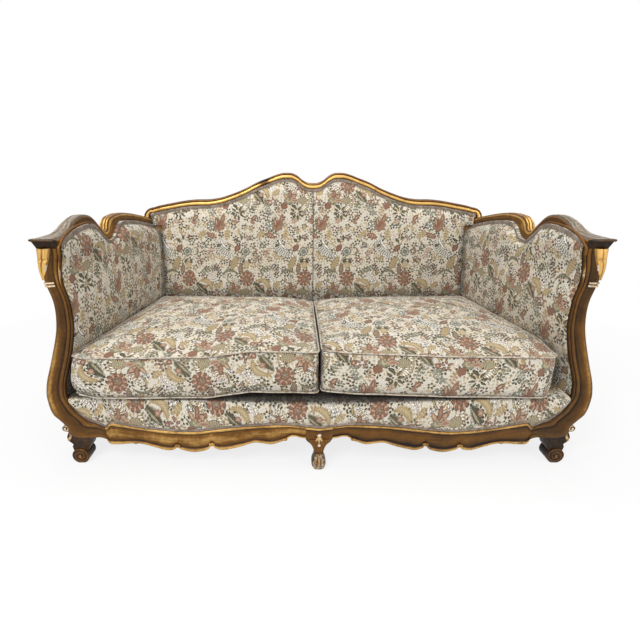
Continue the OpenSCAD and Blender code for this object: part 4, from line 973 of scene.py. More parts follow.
# Aprons and centre leg
APRON_TOP = [(0, 0.927), (0.089, 0.972), (0.161, 1), (0.271, 0.978), (0.4, 0.921), (0.55, 0.826),
             (0.639, 0.803), (0.728, 0.82), (0.831, 0.86), (0.923, 0.916), (0.966, 0.944),
             (0.98, 0.92), (0.992, 0.843), (1, 0.848)]
APRON_LOW = [(0, 0.68), (0.079, 0.708), (0.106, 0.742), (0.134, 0.73), (0.157, 0.652),
             (0.176, 0.618), (0.22, 0.556), (0.264, 0.579), (0.305, 0.584), (0.372, 0.483),
             (0.446, 0.404), (0.485, 0.438), (0.499, 0.5), (0.525, 0.399), (0.588, 0.337),
             (0.648, 0.388), (0.663, 0.444), (0.682, 0.382), (0.721, 0.36), (0.777, 0.427),
             (0.836, 0.489), (0.89, 0.483), (0.94, 0.455), (0.983, 0.449), (1, 0.528)]
APRON_TOP_EDGE = curve([(a * SEAM_X, b * APRON_TOP_H) for a, b in APRON_TOP], 240)
APRON_LOW_EDGE = curve([(a * SEAM_X, b * APRON_TOP_H) for a, b in APRON_LOW], 240)
APRON_LIP = RAIL_T * 0.4


def apron_top(x):
    return lookup(x, APRON_TOP_EDGE)


def bow(x):
    return -BOW_D * (1 - np.minimum(x / SEAM_X, 1) ** 2)


# Section of an apron: share from top to bottom, depth in shares of the lip, tone
APRON_SECTION = [(0, 0.5, 0.0), (0.005, 0.2, 0.4), (0.03, 0.05, 0.7), (0.07, 0.0, 0.8),
                 (0.11, 0.04, 0.6), (0.135, 0.16, -0.2), (0.15, 0.3, -0.9), (0.2, 0.28, 0.0),
                 (0.35, 0.25, 0.4), (0.5, 0.24, 0.5), (0.65, 0.26, 0.35), (0.78, 0.32, -0.2),
                 (0.82, 0.3, -0.9), (0.845, 0.12, 0.0), (0.875, 0.0, 0.7), (0.92, -0.04, 0.85),
                 (0.965, 0.02, 0.7), (0.99, 0.16, 0.3), (1, 0.4, -0.5)]

# Tone of a rail's hidden back, which follows that of its face
RAIL_BACK_TONE = [-0.8, -0.8, -0.8, -0.6]


def rail_section(top, low, relief):
    """Depth and height of the points round a rail."""
    return [(d * relief, mix(top, low, h)) for h, d, _ in APRON_SECTION] \
        + [(RAIL_T, low), (RAIL_T, FRAME_TOP_H), (APRON_LIP, FRAME_TOP_H), (APRON_LIP, top)]


def apron_piece(side_name, side):
    s = Shell()
    row = np.array(APRON_SECTION)[:, 2]
    if side > 0:
        # The right apron is made darker, its field more than its beads: painted shade, as the light falls
        # from the left
        row = np.where(row < 0.6, row - 0.5, row - 0.1)
    keep = APRON_LOW_EDGE[:, 0] > BLOCK_HALF
    xs = np.concatenate([[BLOCK_HALF], APRON_LOW_EDGE[keep, 0]])
    lows = lookup(xs, APRON_LOW_EDGE)
    s.loft([[[x, bow(x) + d, z] for d, z in rail_section(apron_top(x), low, APRON_LIP)]
            for x, low in zip(xs, lows)], tone=[list(row) + RAIL_BACK_TONE] * len(xs))
    # Small carved shells on the lower bead
    for place, size in ((0.157, 9), (0.499, 12), (0.663, 12), (0.86, 8)):
        x = place * SEAM_X
        low, b = lookup(x, APRON_LOW_EDGE), bow(x)
        for a in (-50, -18, 18, 50):
            dx, dz = math.sin(math.radians(a)), math.cos(math.radians(a))
            path = [(x, b + 1, low + 3), (x + dx * size * 0.6, b - 2.2, low + 3 + dz * size * 0.5),
                    (x + dx * size, b + 1.5, low + 3 + dz * size * 0.9)]
            tube(s, curve(path, 8), [1.2, 1.8, 2.3, 2.7, 3, 3, 2.8, 2.2, 1.2], 0.5, sides=8)
        ball(s, (x, b, low + 3), (3.4, 3, 3.4), 0.7)
    s.make_gilt("front_rail", "_" + side_name, side)


LEG = [(1, 0.97, 0, 1), (0.9, 0.9, 0, 1), (0.8, 0.62, 0.1, 1), (0.68, 0.44, 0.4, 0.95),
       (0.54, 0.36, 0.5, 0.9), (0.4, 0.4, 0.6, 0.85), (0.28, 0.5, 0.9, 0.9), (0.16, 0.54, 1, 0.95),
       (0.06, 0.48, 0.95, 0.95), (0, 0.36, 0.7, 0.9)]
ROUND = [(-1, 0.25), (-0.75, 0.04), (-0.3, 0), (0.3, 0), (0.75, 0.04), (1, 0.25), (1, 0.8), (0.8, 1),
         (-0.8, 1), (-1, 0.8)]


def center_leg():
    s = Shell()
    leg_h, toe = APRON_TOP_H * 0.68, SCROLL_D * 0.1
    shape = curve(LEG, 60)
    section = curve(ROUND + ROUND[:1], 50)[:-1]
    rings, tones, chips = [], [], []
    for h, w, proud, d in shape:
        front = -BOW_D - proud * toe
        rings.append([[a * w * BLOCK_HALF, mix(front, -BOW_D + d * RAIL_T, b), h * leg_h]
                      for a, b in section])
        tones.append([(0.1 if h > 0.6 else -0.35) if b < 0.1 else -0.8 for a, b in section])
        chips.append([0.55 if b < 0.1 and h < 0.5 else 0.0 for a, b in section])
    s.loft(rings, tone=tones, chip=chips)
    xs = np.linspace(-BLOCK_HALF, BLOCK_HALF, 13)
    block = []
    for x in xs:
        y = bow(abs(x))
        t = apron_top(abs(x))
        block.append([[x, y + 8, t], [x, y + 3, t - 0.6], [x, y + 0.6, t - 2], [x, y, t - 5],
                      [x, y + 0.7, t - 8], [x, y + 3, t - 9.5], [x, y + 4.8, t - 11], [x, y + 4, t - 16],
                      [x, y + 3.2, t - 34], [x, y + 3.4, leg_h - 2], [x, y + RAIL_T, leg_h - 2],
                      [x, y + RAIL_T, FRAME_TOP_H], [x, y + APRON_LIP, FRAME_TOP_H],
                      [x, y + APRON_LIP, t]])
    row = [0.2, 0.6, 1.0, 1.1, 0.9, 0.0, -0.9, -0.2, 0.1, 0.0] + RAIL_BACK_TONE
    s.loft(block, tone=[row] * len(xs))
    # Carved drop: a chipped boss with leaves hanging down to the toe
    y = -BOW_D
    ball(s, (0, y + 1, leg_h + 17), (8, 6, 6.5), 0.6, chip=1.0)
    for a, length, width in ((-32, 26, 6), (0, 32, 7), (32, 26, 6)):
        dx, dz = math.sin(math.radians(a)), -math.cos(math.radians(a))
        path = [(dx * 4, y + 1, leg_h + 14 + dz * 3),
                (dx * length * 0.5, y - 2.5, leg_h + 14 + dz * length * 0.5),
                (dx * length * 0.8, y + 1, leg_h + 14 + dz * length)]
        tube(s, curve(path, 12), width * np.sin(np.linspace(0.3, math.pi - 0.15, 13)) * 0.62, 0.8,
             chip=0.35)
    ball(s, (0, y - 1, leg_h - 22), (6, 5, 6), 0.5, chip=1.0)
    for dx in (-13, 0, 13):
        path = [(dx * 0.4, y - 2, leg_h * 0.52), (dx * 0.9, y - 8.5, leg_h * 0.3),
                (dx * 1.1, y - 9.5, leg_h * 0.14), (dx, y - 5, leg_h * 0.04)]
        tube(s, curve(path, 14), 5.2 * np.sin(np.linspace(0.5, math.pi - 0.4, 15)), 0.35, chip=0.35)
    s.make_gilt("front_center_leg")


# Crest and stiles
CREST = [(0, 0.7), (0.034, 0.716), (0.065, 0.79), (0.096, 0.91), (0.127, 0.985), (0.156, 1),
         (0.192, 0.992), (0.232, 0.94), (0.275, 0.86), (0.345, 0.73), (0.421, 0.546), (0.498, 0.395),
         (0.576, 0.276), (0.647, 0.224), (0.727, 0.217), (0.806, 0.178), (0.885, 0.11), (0.964, 0.035),
         (1, -0.02)]
_crest = [(a * CREST_HALF, mix(CREST_END_H, CREST_H, b)) for a, b in CREST]
_crest = [(-x, z) for x, z in _crest[:0:-1]] + _crest
CREST_EDGE = curve(_crest, 16 * (len(_crest) - 1))
CREST_EDGE = CREST_EDGE[CREST_EDGE[:, 0] > -1e-6]
# Section of the moulding: distance from the edge, how far it stands forward, tone
MOULDING = [(0, -1.5, -0.5), (0.02, -0.4, -0.4), (0.06, 0.4, -0.1), (0.13, 0.75, 0.2),
            (0.22, 0.9, 0.1), (0.28, 0.8, -0.4), (0.32, 0.62, -1.0), (0.36, 0.7, -0.4),
            (0.42, 0.92, 0.8), (0.52, 1.02, 1.1), (0.62, 1.05, 1.2), (0.72, 1.0, 1.1),
            (0.82, 0.86, 0.8), (0.92, 0.62, 0.2), (1, 0.3, -0.4)]


def crest_top(x):
    return lookup(x, CREST_EDGE)


def crest_ring(x, top):
    ring = [[x, lean_y(top - m * MOULDING_H) - p * MOULDING_PROUD, top - m * MOULDING_H]
            for m, p, _ in MOULDING]
    ring += [[x, frame_y(top - d), top - d] for d in (MOULDING_H, CREST_SECTION)]
    ring += [[x, frame_back_y(top - d) - REBATE, top - d] for d in (CREST_SECTION, MOULDING_H)]
    ring += [[x, frame_back_y(top - d), top - d] for d in (MOULDING_H, REBATE * 1.6, REBATE)]
    return ring + [[x, frame_back_y(top) - REBATE * 0.6, top - 0.8],
                   [x, frame_back_y(top) - REBATE * 2, top]]


CREST_BACK_TONE = [-0.6, -0.8, -0.8, -0.7, -0.5, -0.4, -0.3, -0.3, -0.3]


def crest_piece():
    s = Shell()
    tones = [m[2] for m in MOULDING] + CREST_BACK_TONE
    half = [crest_ring(x, z) for x, z in CREST_EDGE]
    other = [[[-p[0], p[1], p[2]] for p in ring] for ring in half[:0:-1]]
    rings = other + half
    # A worn, darker stretch left of the left hump
    tone = [[t - 1.3 * math.exp(-((ring[0][0] + 225) / 26) ** 2) for t in tones] for ring in rings]
    s.loft(rings, tone=tone)
    s.make_gilt("crest_rail")


CORNER = [(0, 0.94, 0, 1), (0.36, 0.88, 0.16, 0.92), (0.68, 0.68, 0.28, 0.74), (0.91, 0.38, 0.36, 0.4),
          (1, 0.02, 0.4, 0.02)]


def corner_points():
    c = curve(CORNER, 48)
    outer = np.stack([CREST_HALF + c[:, 0] * STILE_W, POST_H + c[:, 1] * CORNER_H], 1)
    inner = np.stack([CREST_HALF + c[:, 2] * STILE_W,
                      POST_H + c[:, 3] * CORNER_H - c[:, 3] * MOULDING_H], 1)
    return outer, inner


CORNER_OUT, CORNER_IN = corner_points()


def stile_piece(side_name, side):
    s = Shell()
    rings = []
    for o, i in zip(CORNER_OUT, CORNER_IN):
        ring = []
        for m, p, _ in MOULDING:
            x, z = mix(o[0], i[0], m), mix(o[1], i[1], m)
            ring.append([x, lean_y(z) - p * MOULDING_PROUD, z])
        for m in (1, 0.5, 0.06, 0):
            x, z = mix(o[0], i[0], m), mix(o[1], i[1], m)
            ring.append([x, frame_back_y(z) - (0 if m == 0.5 else REBATE), z])
        rings.append(ring)
    s.loft(rings, tone=[[m[2] for m in MOULDING] + [-0.5] * 4] * len(rings))
    seat_back = frame_y(0) + BACK_D + REBATE
    top = POST_H + CORNER_H * 0.1
    front = curve([(frame_y(top), top), (frame_y(500), 500), (frame_y(BEND_H), BEND_H),
                   (frame_y(0), BEND_H * 0.4), (frame_y(0) + REAR_KICK, 0)], 60)
    rear = curve([(frame_back_y(top), top), (frame_back_y(BEND_H * 1.8) - REBATE, BEND_H * 1.8),
                  (seat_back, BEND_H * 0.7), (seat_back + REAR_KICK * 0.36, BEND_H * 0.3),
                  (seat_back + REAR_KICK, 0)], 60)
    half = STILE_W / 2
    xc = CREST_HALF + half
    section = ((-1, 0.12), (-0.88, 0), (0.88, 0), (1, 0.12), (1, 0.88), (0.88, 1), (-0.88, 1),
               (-1, 0.88))
    s.loft([[[xc + sx * half, mix(f[0], b[0], k), mix(f[1], b[1], k)] for sx, k in section]
            for f, b in zip(front, rear)], tone=-0.25)
    s.make_gilt("back_stile", "_" + side_name, side)


# Side rails
SIDE_LOW = [(0, 0.66), (0.12, 0.52), (0.26, 0.56), (0.4, 0.44), (0.48, 0.5), (0.52, 0.5), (0.6, 0.44),
            (0.74, 0.56), (0.88, 0.52), (1, 0.62)]
SIDE_FRONT_X = HALF_W - POST_SWEEP * 0.48
SIDE_REAR_Y = frame_y(0)


def side_out(y):
    return mix(SIDE_FRONT_X, STILE_OUT, (y - POST_D) / (SIDE_REAR_Y - POST_D))


def side_piece(side_name, side):
    s = Shell()
    low = curve([(mix(POST_D, SIDE_REAR_Y, a), b * APRON_TOP_H) for a, b in SIDE_LOW], 90)
    top = APRON_TOP_H * 0.9
    tones = [t - 0.2 for _, _, t in APRON_SECTION] + RAIL_BACK_TONE
    s.loft([[[side_out(y) - d, y, z] for d, z in rail_section(top, edge, APRON_LIP / 2)]
            for y, edge in low], tone=[tones] * len(low))
    s.make_gilt("side_rail", "_" + side_name, side)


# Padded back
BACK_PAD = [(0, 0.09), (0.028, 0.09), (0.05, 0.6), (0.11, 0.88), (0.3, 1), (0.5, 1), (0.7, 0.92),
            (0.9, 0.68), (1, 0.56)]
BACK_SIDE_X = CREST_HALF - ARM_PAD_T - 2 * SOFT_GAP
BACK_EAR_X = CREST_HALF + STILE_W * 0.2
BACK_ACROSS = [(0, 0.8), (0.012, 0.88), (0.04, 0.95), (0.1, 0.985), (0.25, 1), (0.5, 1.03),
               (0.75, 1), (0.9, 0.96), (0.97, 0.88), (1, 0.72)]


def back_top(x):
    return crest_top(x) - MOULDING_H if x <= CREST_HALF else lookup(x, CORNER_IN)


def wobble(x, y, z, scale, seed):
    """A soft, even unevenness from -1 to 1."""
    return noise.noise(Vector((x * scale + seed, y * scale - seed, z * scale + 2 * seed)))


def back_panel(side_name, side):
    # Rows run from the crest down; the first ones lie flat under the gimp
    rows = runs((0, 0.024, 3), (0.03, 0.12, 16), (0.14, 1, 56))
    xs = runs((SOFT_GAP / 2, 30, 10), (40, BACK_SIDE_X - 30, 70), (BACK_SIDE_X - 26, BACK_SIDE_X, 12))
    profile = curve(BACK_PAD, 400)
    shares = lookup(rows, profile)
    points, uv = [], []
    for x in xs:
        top = back_top(x) - SOFT_GAP
        low = DECK_H + SOFT_GAP
        across = lookup(x / BACK_SIDE_X, BACK_ACROSS)
        for r, share in zip(rows, shares):
            z = mix(top, low, r)
            depth = max(share * across, BACK_PAD[0][1]) * BACK_PAD_T
            depth += wobble(x * side, 0, z, 0.011, 3) * 1.6 * min(share, 1) * (r > 0.06)
            points.append([x, back_pad_y(z) - depth, z])
            uv.append([x, z * 1.015])
        for z in (low, top):
            points.append([x, back_pad_y(z), z])
            uv.append([x, z])
    faces = skin_faces(len(xs), len(rows) + 2)
    # Narrow ear over the stile
    start = len(points)
    step_x = ARM_REAR_X - ARM_W / 2 - 2
    ear_x = runs((BACK_SIDE_X + GAP, step_x, 9), (step_x + 0.1, BACK_EAR_X, 4))
    for x in ear_x:
        top = back_top(x) - SOFT_GAP
        low = (POST_H if x > step_x else ARM_END_H) + SOFT_GAP
        for r in np.linspace(0, 1, 8):
            z = mix(top, low, r)
            share = lookup((top - z) / (top - DECK_H), profile)
            share *= 0.72 - 0.5 * smoothstep((x - BACK_SIDE_X) / (BACK_EAR_X - BACK_SIDE_X))
            points.append([x, back_pad_y(z) - max(share, BACK_PAD[0][1]) * BACK_PAD_T, z])
            uv.append([x, z])
        for z in (low, top):
            points.append([x, back_pad_y(z), z])
            uv.append([x, z])
    faces += skin_faces(len(ear_x), 10, start=start)
    p = np.array(points)
    # Shade in the corner by the arm, along the center seam and behind the cushions
    corner = 0.6 * np.exp(-((BACK_SIDE_X - p[:, 0]) / 13) ** 2)
    corner *= smoothstep((POST_H - 20 - p[:, 2]) / 30)
    seam = 0.7 * np.exp(-(p[:, 0] / 3.2) ** 2)
    low = 0.5 * smoothstep((480 - p[:, 2]) / 60)
    build_padded("inside_back_pad_" + side_name, points, faces, "inside_back_" + side_name, uv=uv,
                 side=side, crease=50, rose=(-38 if side < 0 else 165, 512),
                 shade=np.maximum(np.maximum(corner, seam), low))


# Padded arms
ARM_PAD = [(0, 0.3), (0.02, 0.3), (0.032, 0.34), (0.06, 0.72), (0.12, 0.93), (0.25, 1), (0.45, 1),
           (0.65, 1), (0.8, 1), (1, 0.96)]
ARM_PAD_FRONT = POST_D * 0.25
ARM_ROSE = {"left": (425, 764), "right": (-268, 216)}
# The edge of the padded arm by the post, which runs up before the rail's own underside does
EARLY_RISE = [(0, 772), (15, 786), (30, 797), (50, 807), (80, 815), (120, 820), (150, 822), (186, 824)]


def arm_edge(y):
    return max(arm_low(y), lookup(y, EARLY_RISE) if y < EARLY_RISE[-1][0] else 0.0)


def arm_pad_point(u, s):
    top_y = mix(ARM_PAD_FRONT, back_pad_y(ARM_END_H) - GAP, u)
    top = arm_edge(top_y) - 2 * SOFT_GAP
    z = mix(top, DECK_H + SOFT_GAP, s)
    return mix(ARM_PAD_FRONT, back_pad_y(z) - GAP, u), z


def arm_pad_outer(u, z):
    past = mix(ARM_PAD_FRONT, back_pad_y(z), u) / POST_D - 1.3
    return mix(post_inner(z) - 2 * SOFT_GAP, ARM_REAR_X - ARM_W / 2, u) \
        + ARM_W * 0.25 * clamp(past)


def arm_pad_inner(u, z):
    return mix(post_inner(z) - REBATE, CREST_HALF - ARM_PAD_T, u) \
        - 4 * u * (1 - u) * REBATE * clamp((z - CUSHION_TOP) / CROWN_H)


def arm_bead(shell):
    """The carved bead that runs from the post up along the edge of the padded arm."""
    path = [[post_inner(POST_H - 20) + 3, 5, POST_H - 20],
            [post_inner(POST_H) + 3, 6, POST_H + 2]]
    for y in np.linspace(16, ARM_RUN - 6, 150):
        x = max(arm_pad_outer(y / ARM_RUN, arm_edge(y)) + 1.5, 0)
        path.append([x, y, arm_edge(y) + 3])
    tube(shell, path, 4.2, 0.05, up=(1, 0, 0))


def arm_pad(side_name, side):
    rows = runs((0, 0.03, 3), (0.036, 0.14, 16), (0.16, 1, 46))
    cols = np.concatenate([[0, 0.004, 0.01, 0.02], np.linspace(0.03, 0.97, 96), [0.98, 0.99, 1]])
    profile = curve(ARM_PAD, 400)
    shares = lookup(rows, profile)
    points, uv = [], []
    for u in cols:
        edge = smoothstep(u / 0.03) * 0.6 + 0.4
        for r, share in zip(rows, shares):
            y, z = arm_pad_point(u, r)
            outer, inner = arm_pad_outer(u, z), arm_pad_inner(u, z)
            x = mix(outer, inner, share) + (1 - edge) * 2
            x -= wobble(0, y, z, 0.012, 7 * side) * 1.8 * (0.04 < u < 0.96 and r > 0.08)
            points.append([x, y, z])
            uv.append([-y, z])
        for r in rows[::-1]:
            y, z = arm_pad_point(u, r)
            points.append([arm_pad_outer(u, z), y, z])
            uv.append([-y, z])
    m, n = 2 * len(rows), len(cols)
    faces = skin_faces(n, m, caps=False)
    faces += [(start + j, start + j + 1, start + m - 2 - j, start + m - 1 - j)
              for start in (0, (n - 1) * m) for j in range(len(rows) - 1)]
    p = np.array(points)
    # Shade beside the cushions and in the corner by the back
    low = 0.85 * smoothstep((452 - p[:, 2]) / 60)
    if side > 0:
        low *= 0.25 + 0.75 * smoothstep((p[:, 1] - 50) / 70)
    rear = 0.55 * np.exp(-((back_pad_y(p[:, 2]) - p[:, 1] - BACK_PAD_T) / 16) ** 2)
    build_padded("inside_arm_pad_" + side_name, points, faces, "inside_arm_" + side_name, uv=uv,
                 side=side, crease=50, rose=ARM_ROSE[side_name], shade=np.maximum(low, rear))


# Front border under the cushions
BORDER_END_X = post_inner(DECK_H) - POST_W * 0.14
BORDER = [(0, 0.16), (0.13, 0.16), (0.22, -0.12), (0.5, -0.25), (0.8, -0.1), (0.95, 0.25), (1, 0.8)]
# What its height and depth are taken as where the cloth's figure is laid on it
BORDER_SPAN = [80, 16]
SHELF = POST_IN[POST_IN[:, 1] <= KNEE_H]


def border_low(x):
    return (apron_top(x) if x <= SEAM_X else lookup(x, SHELF)) + 2 * SOFT_GAP


def front_border():
    xs = mirrored(runs((0, SEAM_X, 150), (SEAM_X + 1, BORDER_END_X, 28)))
    profile = curve(BORDER, 28)
    points, uv = [], []
    deck_low = FRAME_TOP_H + GAP + 3 * (CLOTH_T + GAP)
    length = np.linalg.norm(np.diff(profile * BORDER_SPAN, axis=0), axis=1)
    length = np.concatenate([[0], np.cumsum(length)])
    for x in xs:
        a = abs(x)
        low, step = border_low(a), a <= SEAM_X
        for (h, d), run in zip(profile, length):
            z = mix(low, DECK_H, h)
            y = bow(a) + d * APRON_LIP
            y += wobble(x, 0, z, 0.02, 11) * 1.2 * (0.15 < h < 0.95)
            points.append([x, y, z])
            uv.append([x, run + low])
        points += [[x, POST_D, DECK_H], [x, POST_D, deck_low if step else low + GAP],
                   [x, bow(a) + APRON_LIP - SOFT_GAP, deck_low if step else low]]
        uv += [[x, DECK_H + 60]] * 3
    p = np.array(points)
    # Shade under the front edge of the cushions
    wide = 7 + 10 * np.exp(-((p[:, 0] - 30) / 260) ** 2)
    shade = 0.9 * smoothstep((p[:, 2] - DECK_H + wide) / wide) * smoothstep((760 - p[:, 0]) / 60)
    build_padded("front_border_pad", points, skin_faces(len(xs), len(profile) + 3),
                 "seat_front_border", uv=uv, crease=60, rose=(-70, 240), shade=shade)


for side_name, side in SIDES:
    for piece in (post_piece, arm_piece, apron_piece, stile_piece, side_piece):
        piece(side_name, side)
center_leg()
crest_piece()
for side_name, side in SIDES:
    back_panel(side_name, side)
    arm_pad(side_name, side)
front_border()

# Cushions
PIPING_R = PIPING_D / 2
CUSHION_X0 = CUSHION_GAP / 2 + PIPING_D * 0.6
CUSHION_FRONT_HALF = post_inner(CUSHION_TOP) - REBATE - CUSHION_GAP - PIPING_R
CUSHION_REAR_HALF = CREST_HALF - ARM_PAD_T - CUSHION_GAP - PIPING_R
CUSHION_REAR_Y = back_pad_y(DECK_H) - BACK_PAD_T * BACK_PAD[7][1] - CUSHION_GAP - PIPING_R
CUSHION_LOW = DECK_H + GAP
SEAM_LOW = CUSHION_LOW + PIPING_R
SEAM_TOP = SEAM_LOW + CUSHION_T


def cushion_side(y):
    return mix(CUSHION_FRONT_HALF, CUSHION_REAR_HALF,
               np.maximum(y - POST_D / 2, 0) / (CUSHION_REAR_Y - POST_D / 2))


def cushion_plan(u, v):
    """Place on the plan of a cushion: u from the middle seam to the arm, v from front to back."""
    y = mix(-CUSHION_PROUD, CUSHION_REAR_Y, v)
    return np.array([mix(CUSHION_X0, cushion_side(y), u), y])


def superellipse(u, v, power):
    """Presses the unit square's corners in, so that they are round."""
    a, b = 2 * u - 1, 2 * v - 1
    n = (abs(a) ** power + abs(b) ** power) ** (1 / power)
    k = max(abs(a), abs(b)) / n if n > 0 else 1
    return (a * k + 1) / 2, (b * k + 1) / 2


# How far a cushion rides up on the deck's crown, from the middle of the seat to the arm
LIFT = {"left": [(0, 25), (235, 28), (300, 18), (370, 7), (650, 3), (812, 4)],
        "right": [(0, 33), (100, 22), (240, 16), (440, 9), (812, 5)]}
# Which way up each cushion's border is cut, and where the cloth's figure starts on it and on the top
BORDER_TURN = {"left": -1, "right": 1}
BORDER_ROSE = {"left": (-119, 330), "right": (284, 39)}
TOP_ROSE = {"left": (-320, 96), "right": (231, 61)}


# How far a cushion's sides pull in, its first share of the crown, and how far its rear inner corner sinks
PULL_IN, FIRST_CROWN, CORNER_SINK = 2.5, 0.55, 18
# How deep the dents in the top are, and the small unevenness of the whole
DENT, PUCKER = 4.5, 1.6


def cushion(side_name, side):
    name = "cushion_" + side_name
    nu, nv, nb = 54, 48, 10
    panel = (nu + 1) * (nv + 1)
    points, faces, index = [], [], {}
    for level, z in (("top", SEAM_TOP), ("low", SEAM_LOW)):
        for i in range(nu + 1):
            for j in range(nv + 1):
                u, v = i / nu, j / nv
                rear_corner, front_corner = ((1 - u) * v) ** 3, (u * (1 - v)) ** 8
                a, b = superellipse(u, v, 60 - 52 * rear_corner - 42 * front_corner)
                x, y = cushion_plan(a, b)
                edge = min(16 * a * (1 - a) * b * (1 - b) * 1.6, 1)
                x += PULL_IN * (1 - 2 * a) * 4 * b * (1 - b)
                y += PULL_IN * (1 - 2 * b) * 4 * a * (1 - a)
                crown = CROWN_H * FIRST_CROWN * (1 - (1 - edge) ** 2) - CORNER_SINK * rear_corner
                index[level, i, j] = len(points)
                points.append([x, y, z + (crown if level == "top" else 0)])
        for i in range(nu):
            for j in range(nv):
                quad = [index[level, i, j], index[level, i + 1, j], index[level, i + 1, j + 1],
                        index[level, i, j + 1]]
                faces.append(quad if level == "top" else quad[::-1])
    rim = [(i, 0) for i in range(nu)] + [(nu, j) for j in range(nv)] \
        + [(i, nv) for i in range(nu, 0, -1)] + [(0, j) for j in range(nv, 0, -1)]
    rings = [[index["low", i, j] for i, j in rim]]
    top_ring = [index["top", i, j] for i, j in rim]
    for k in range(1, nb):
        ring = []
        for a, b in zip(rings[0], top_ring):
            ring.append(len(points))
            points.append(list(mix(np.array(points[a]), np.array(points[b]), k / nb)))
        rings.append(ring)
    rings.append(top_ring)
    count = len(rim)
    faces += [[a[k], a[(k + 1) % count], b[(k + 1) % count], b[k]]
              for a, b in zip(rings, rings[1:]) for k in range(count)]
    points = np.array(points)
    coords = cushion_uv(side_name, side, points, faces, rings, 2 * nu * nv)
    points = inflate(name, points, faces, rings[0] + rings[-1])
    settle(side_name, side, points)
    # Shade on the rear of the top, on the underside and on the hidden sides
    shade = np.zeros(len(points))
    shade[:panel] = 0.3 * smoothstep((points[:panel, 1] - 560) / 60)
    shade[panel:2 * panel] = 0.3
    for k, ring in enumerate(rings):
        shade[ring] = 0.45 * max(1 - k / 2.2, 0)
        inner = [p for p in ring if points[p][0] < CUSHION_X0 + 9]
        shade[inner] = (0.4 if k < nb else 0.3) * smoothstep((points[inner, 1] + CUSHION_PROUD + 6) / 24)
    o = build(name, points, faces, TAPESTRY, "tapestry",
              ["cushion_cover_" + side_name, "cushion_filling_" + side_name], name, side,
              corners=coords, crease=70, shade=shade)
    smooth = o.modifiers.new("smooth", "SUBSURF")
    smooth.levels = smooth.render_levels = 1
    s = Shell()
    # Painted shade along the underside of each piping cord
    for ring, painted_shade_below in ((rings[0], -0.5), (rings[-1], -0.2)):
        loop(s, points[ring], PIPING_R, painted_shade_below)
    s.make("cushion_piping_cord_" + side_name, PIPING, "piping", "cushion_piping_" + side_name, side,
           name)


def settle(side_name, side, points):
    """A sewn cushion that is sat on: soft dents on top, and riding up towards the middle."""
    lift = tuple(zip(*LIFT[side_name]))
    for p in points:
        v = clamp((p[1] + CUSHION_PROUD) / (CUSHION_REAR_Y + CUSHION_PROUD))
        high = smoothstep((p[2] - SEAM_TOP) / 16)
        p[2] += high * (DENT * wobble(p[0], p[1], side * 50, 0.0065, 5)
                        + PUCKER * wobble(p[0], p[1], side * 50, 0.021, 9))
        front = 1 - smoothstep(v / 0.15)
        p[1] += front * PUCKER * wobble(p[0], side * 90, p[2], 0.016, 21)
        p[2] += PUCKER * wobble(p[0], p[1], side * 30, 0.012, 31)
        p[2] += np.interp(p[0], *lift) * (1 - v) ** 0.7
        # The outer front corner bulges over the post's hollow, or is drawn in
        h = clamp((p[2] - SEAM_LOW) / CUSHION_T)
        near = 1 - smoothstep((p[1] - 10) / 170)
        outer = smoothstep((p[0] - 640) / 170) * near
        if side < 0:
            p[0] += outer * (3 + 24 * math.sin(math.pi * h ** 0.65))
        else:
            p[0] -= outer * (34 - 6 * math.sin(math.pi * h))
        p[2] += 12 * outer * (1 - h) * smoothstep((p[0] - 740) / 50)
        p[2] = max(p[2], CUSHION_LOW)


def cushion_uv(side_name, side, points, faces, rings, panel_faces):
    """Where the cloth's figure lies on each face: flat on the panels, and round the border."""
    step = np.linalg.norm(np.diff(points[rings[0] + rings[0][:1]][:, :2], axis=0), axis=1)
    run = points[rings[0][0]][0] + np.concatenate([[0], np.cumsum(step)])
    count, coords = len(rings[0]), []
    turn, border_rose = BORDER_TURN[side_name], np.array(BORDER_ROSE[side_name])
    top_rose = np.array(TOP_ROSE[side_name])
    for f, face in enumerate(faces):
        if f < panel_faces:
            for v in face:
                coords.append(np.array([points[v][0] * side, points[v][1]]) - top_rose)
        else:
            k, j = divmod(f - panel_faces, count)
            for dj, dk in ((0, 0), (1, 0), (1, 1), (0, 1)):
                z = mix(SEAM_LOW, SEAM_TOP, (k + dk) / (len(rings) - 1))
                coords.append(turn * (np.array([run[j + dj] * side, z]) - border_rose))
    return np.array(coords)


# Frames that the cloth under pressure runs for, and how far it may carry a point in millimetres
FILL_FRAMES, FILL_REACH = 20, 28


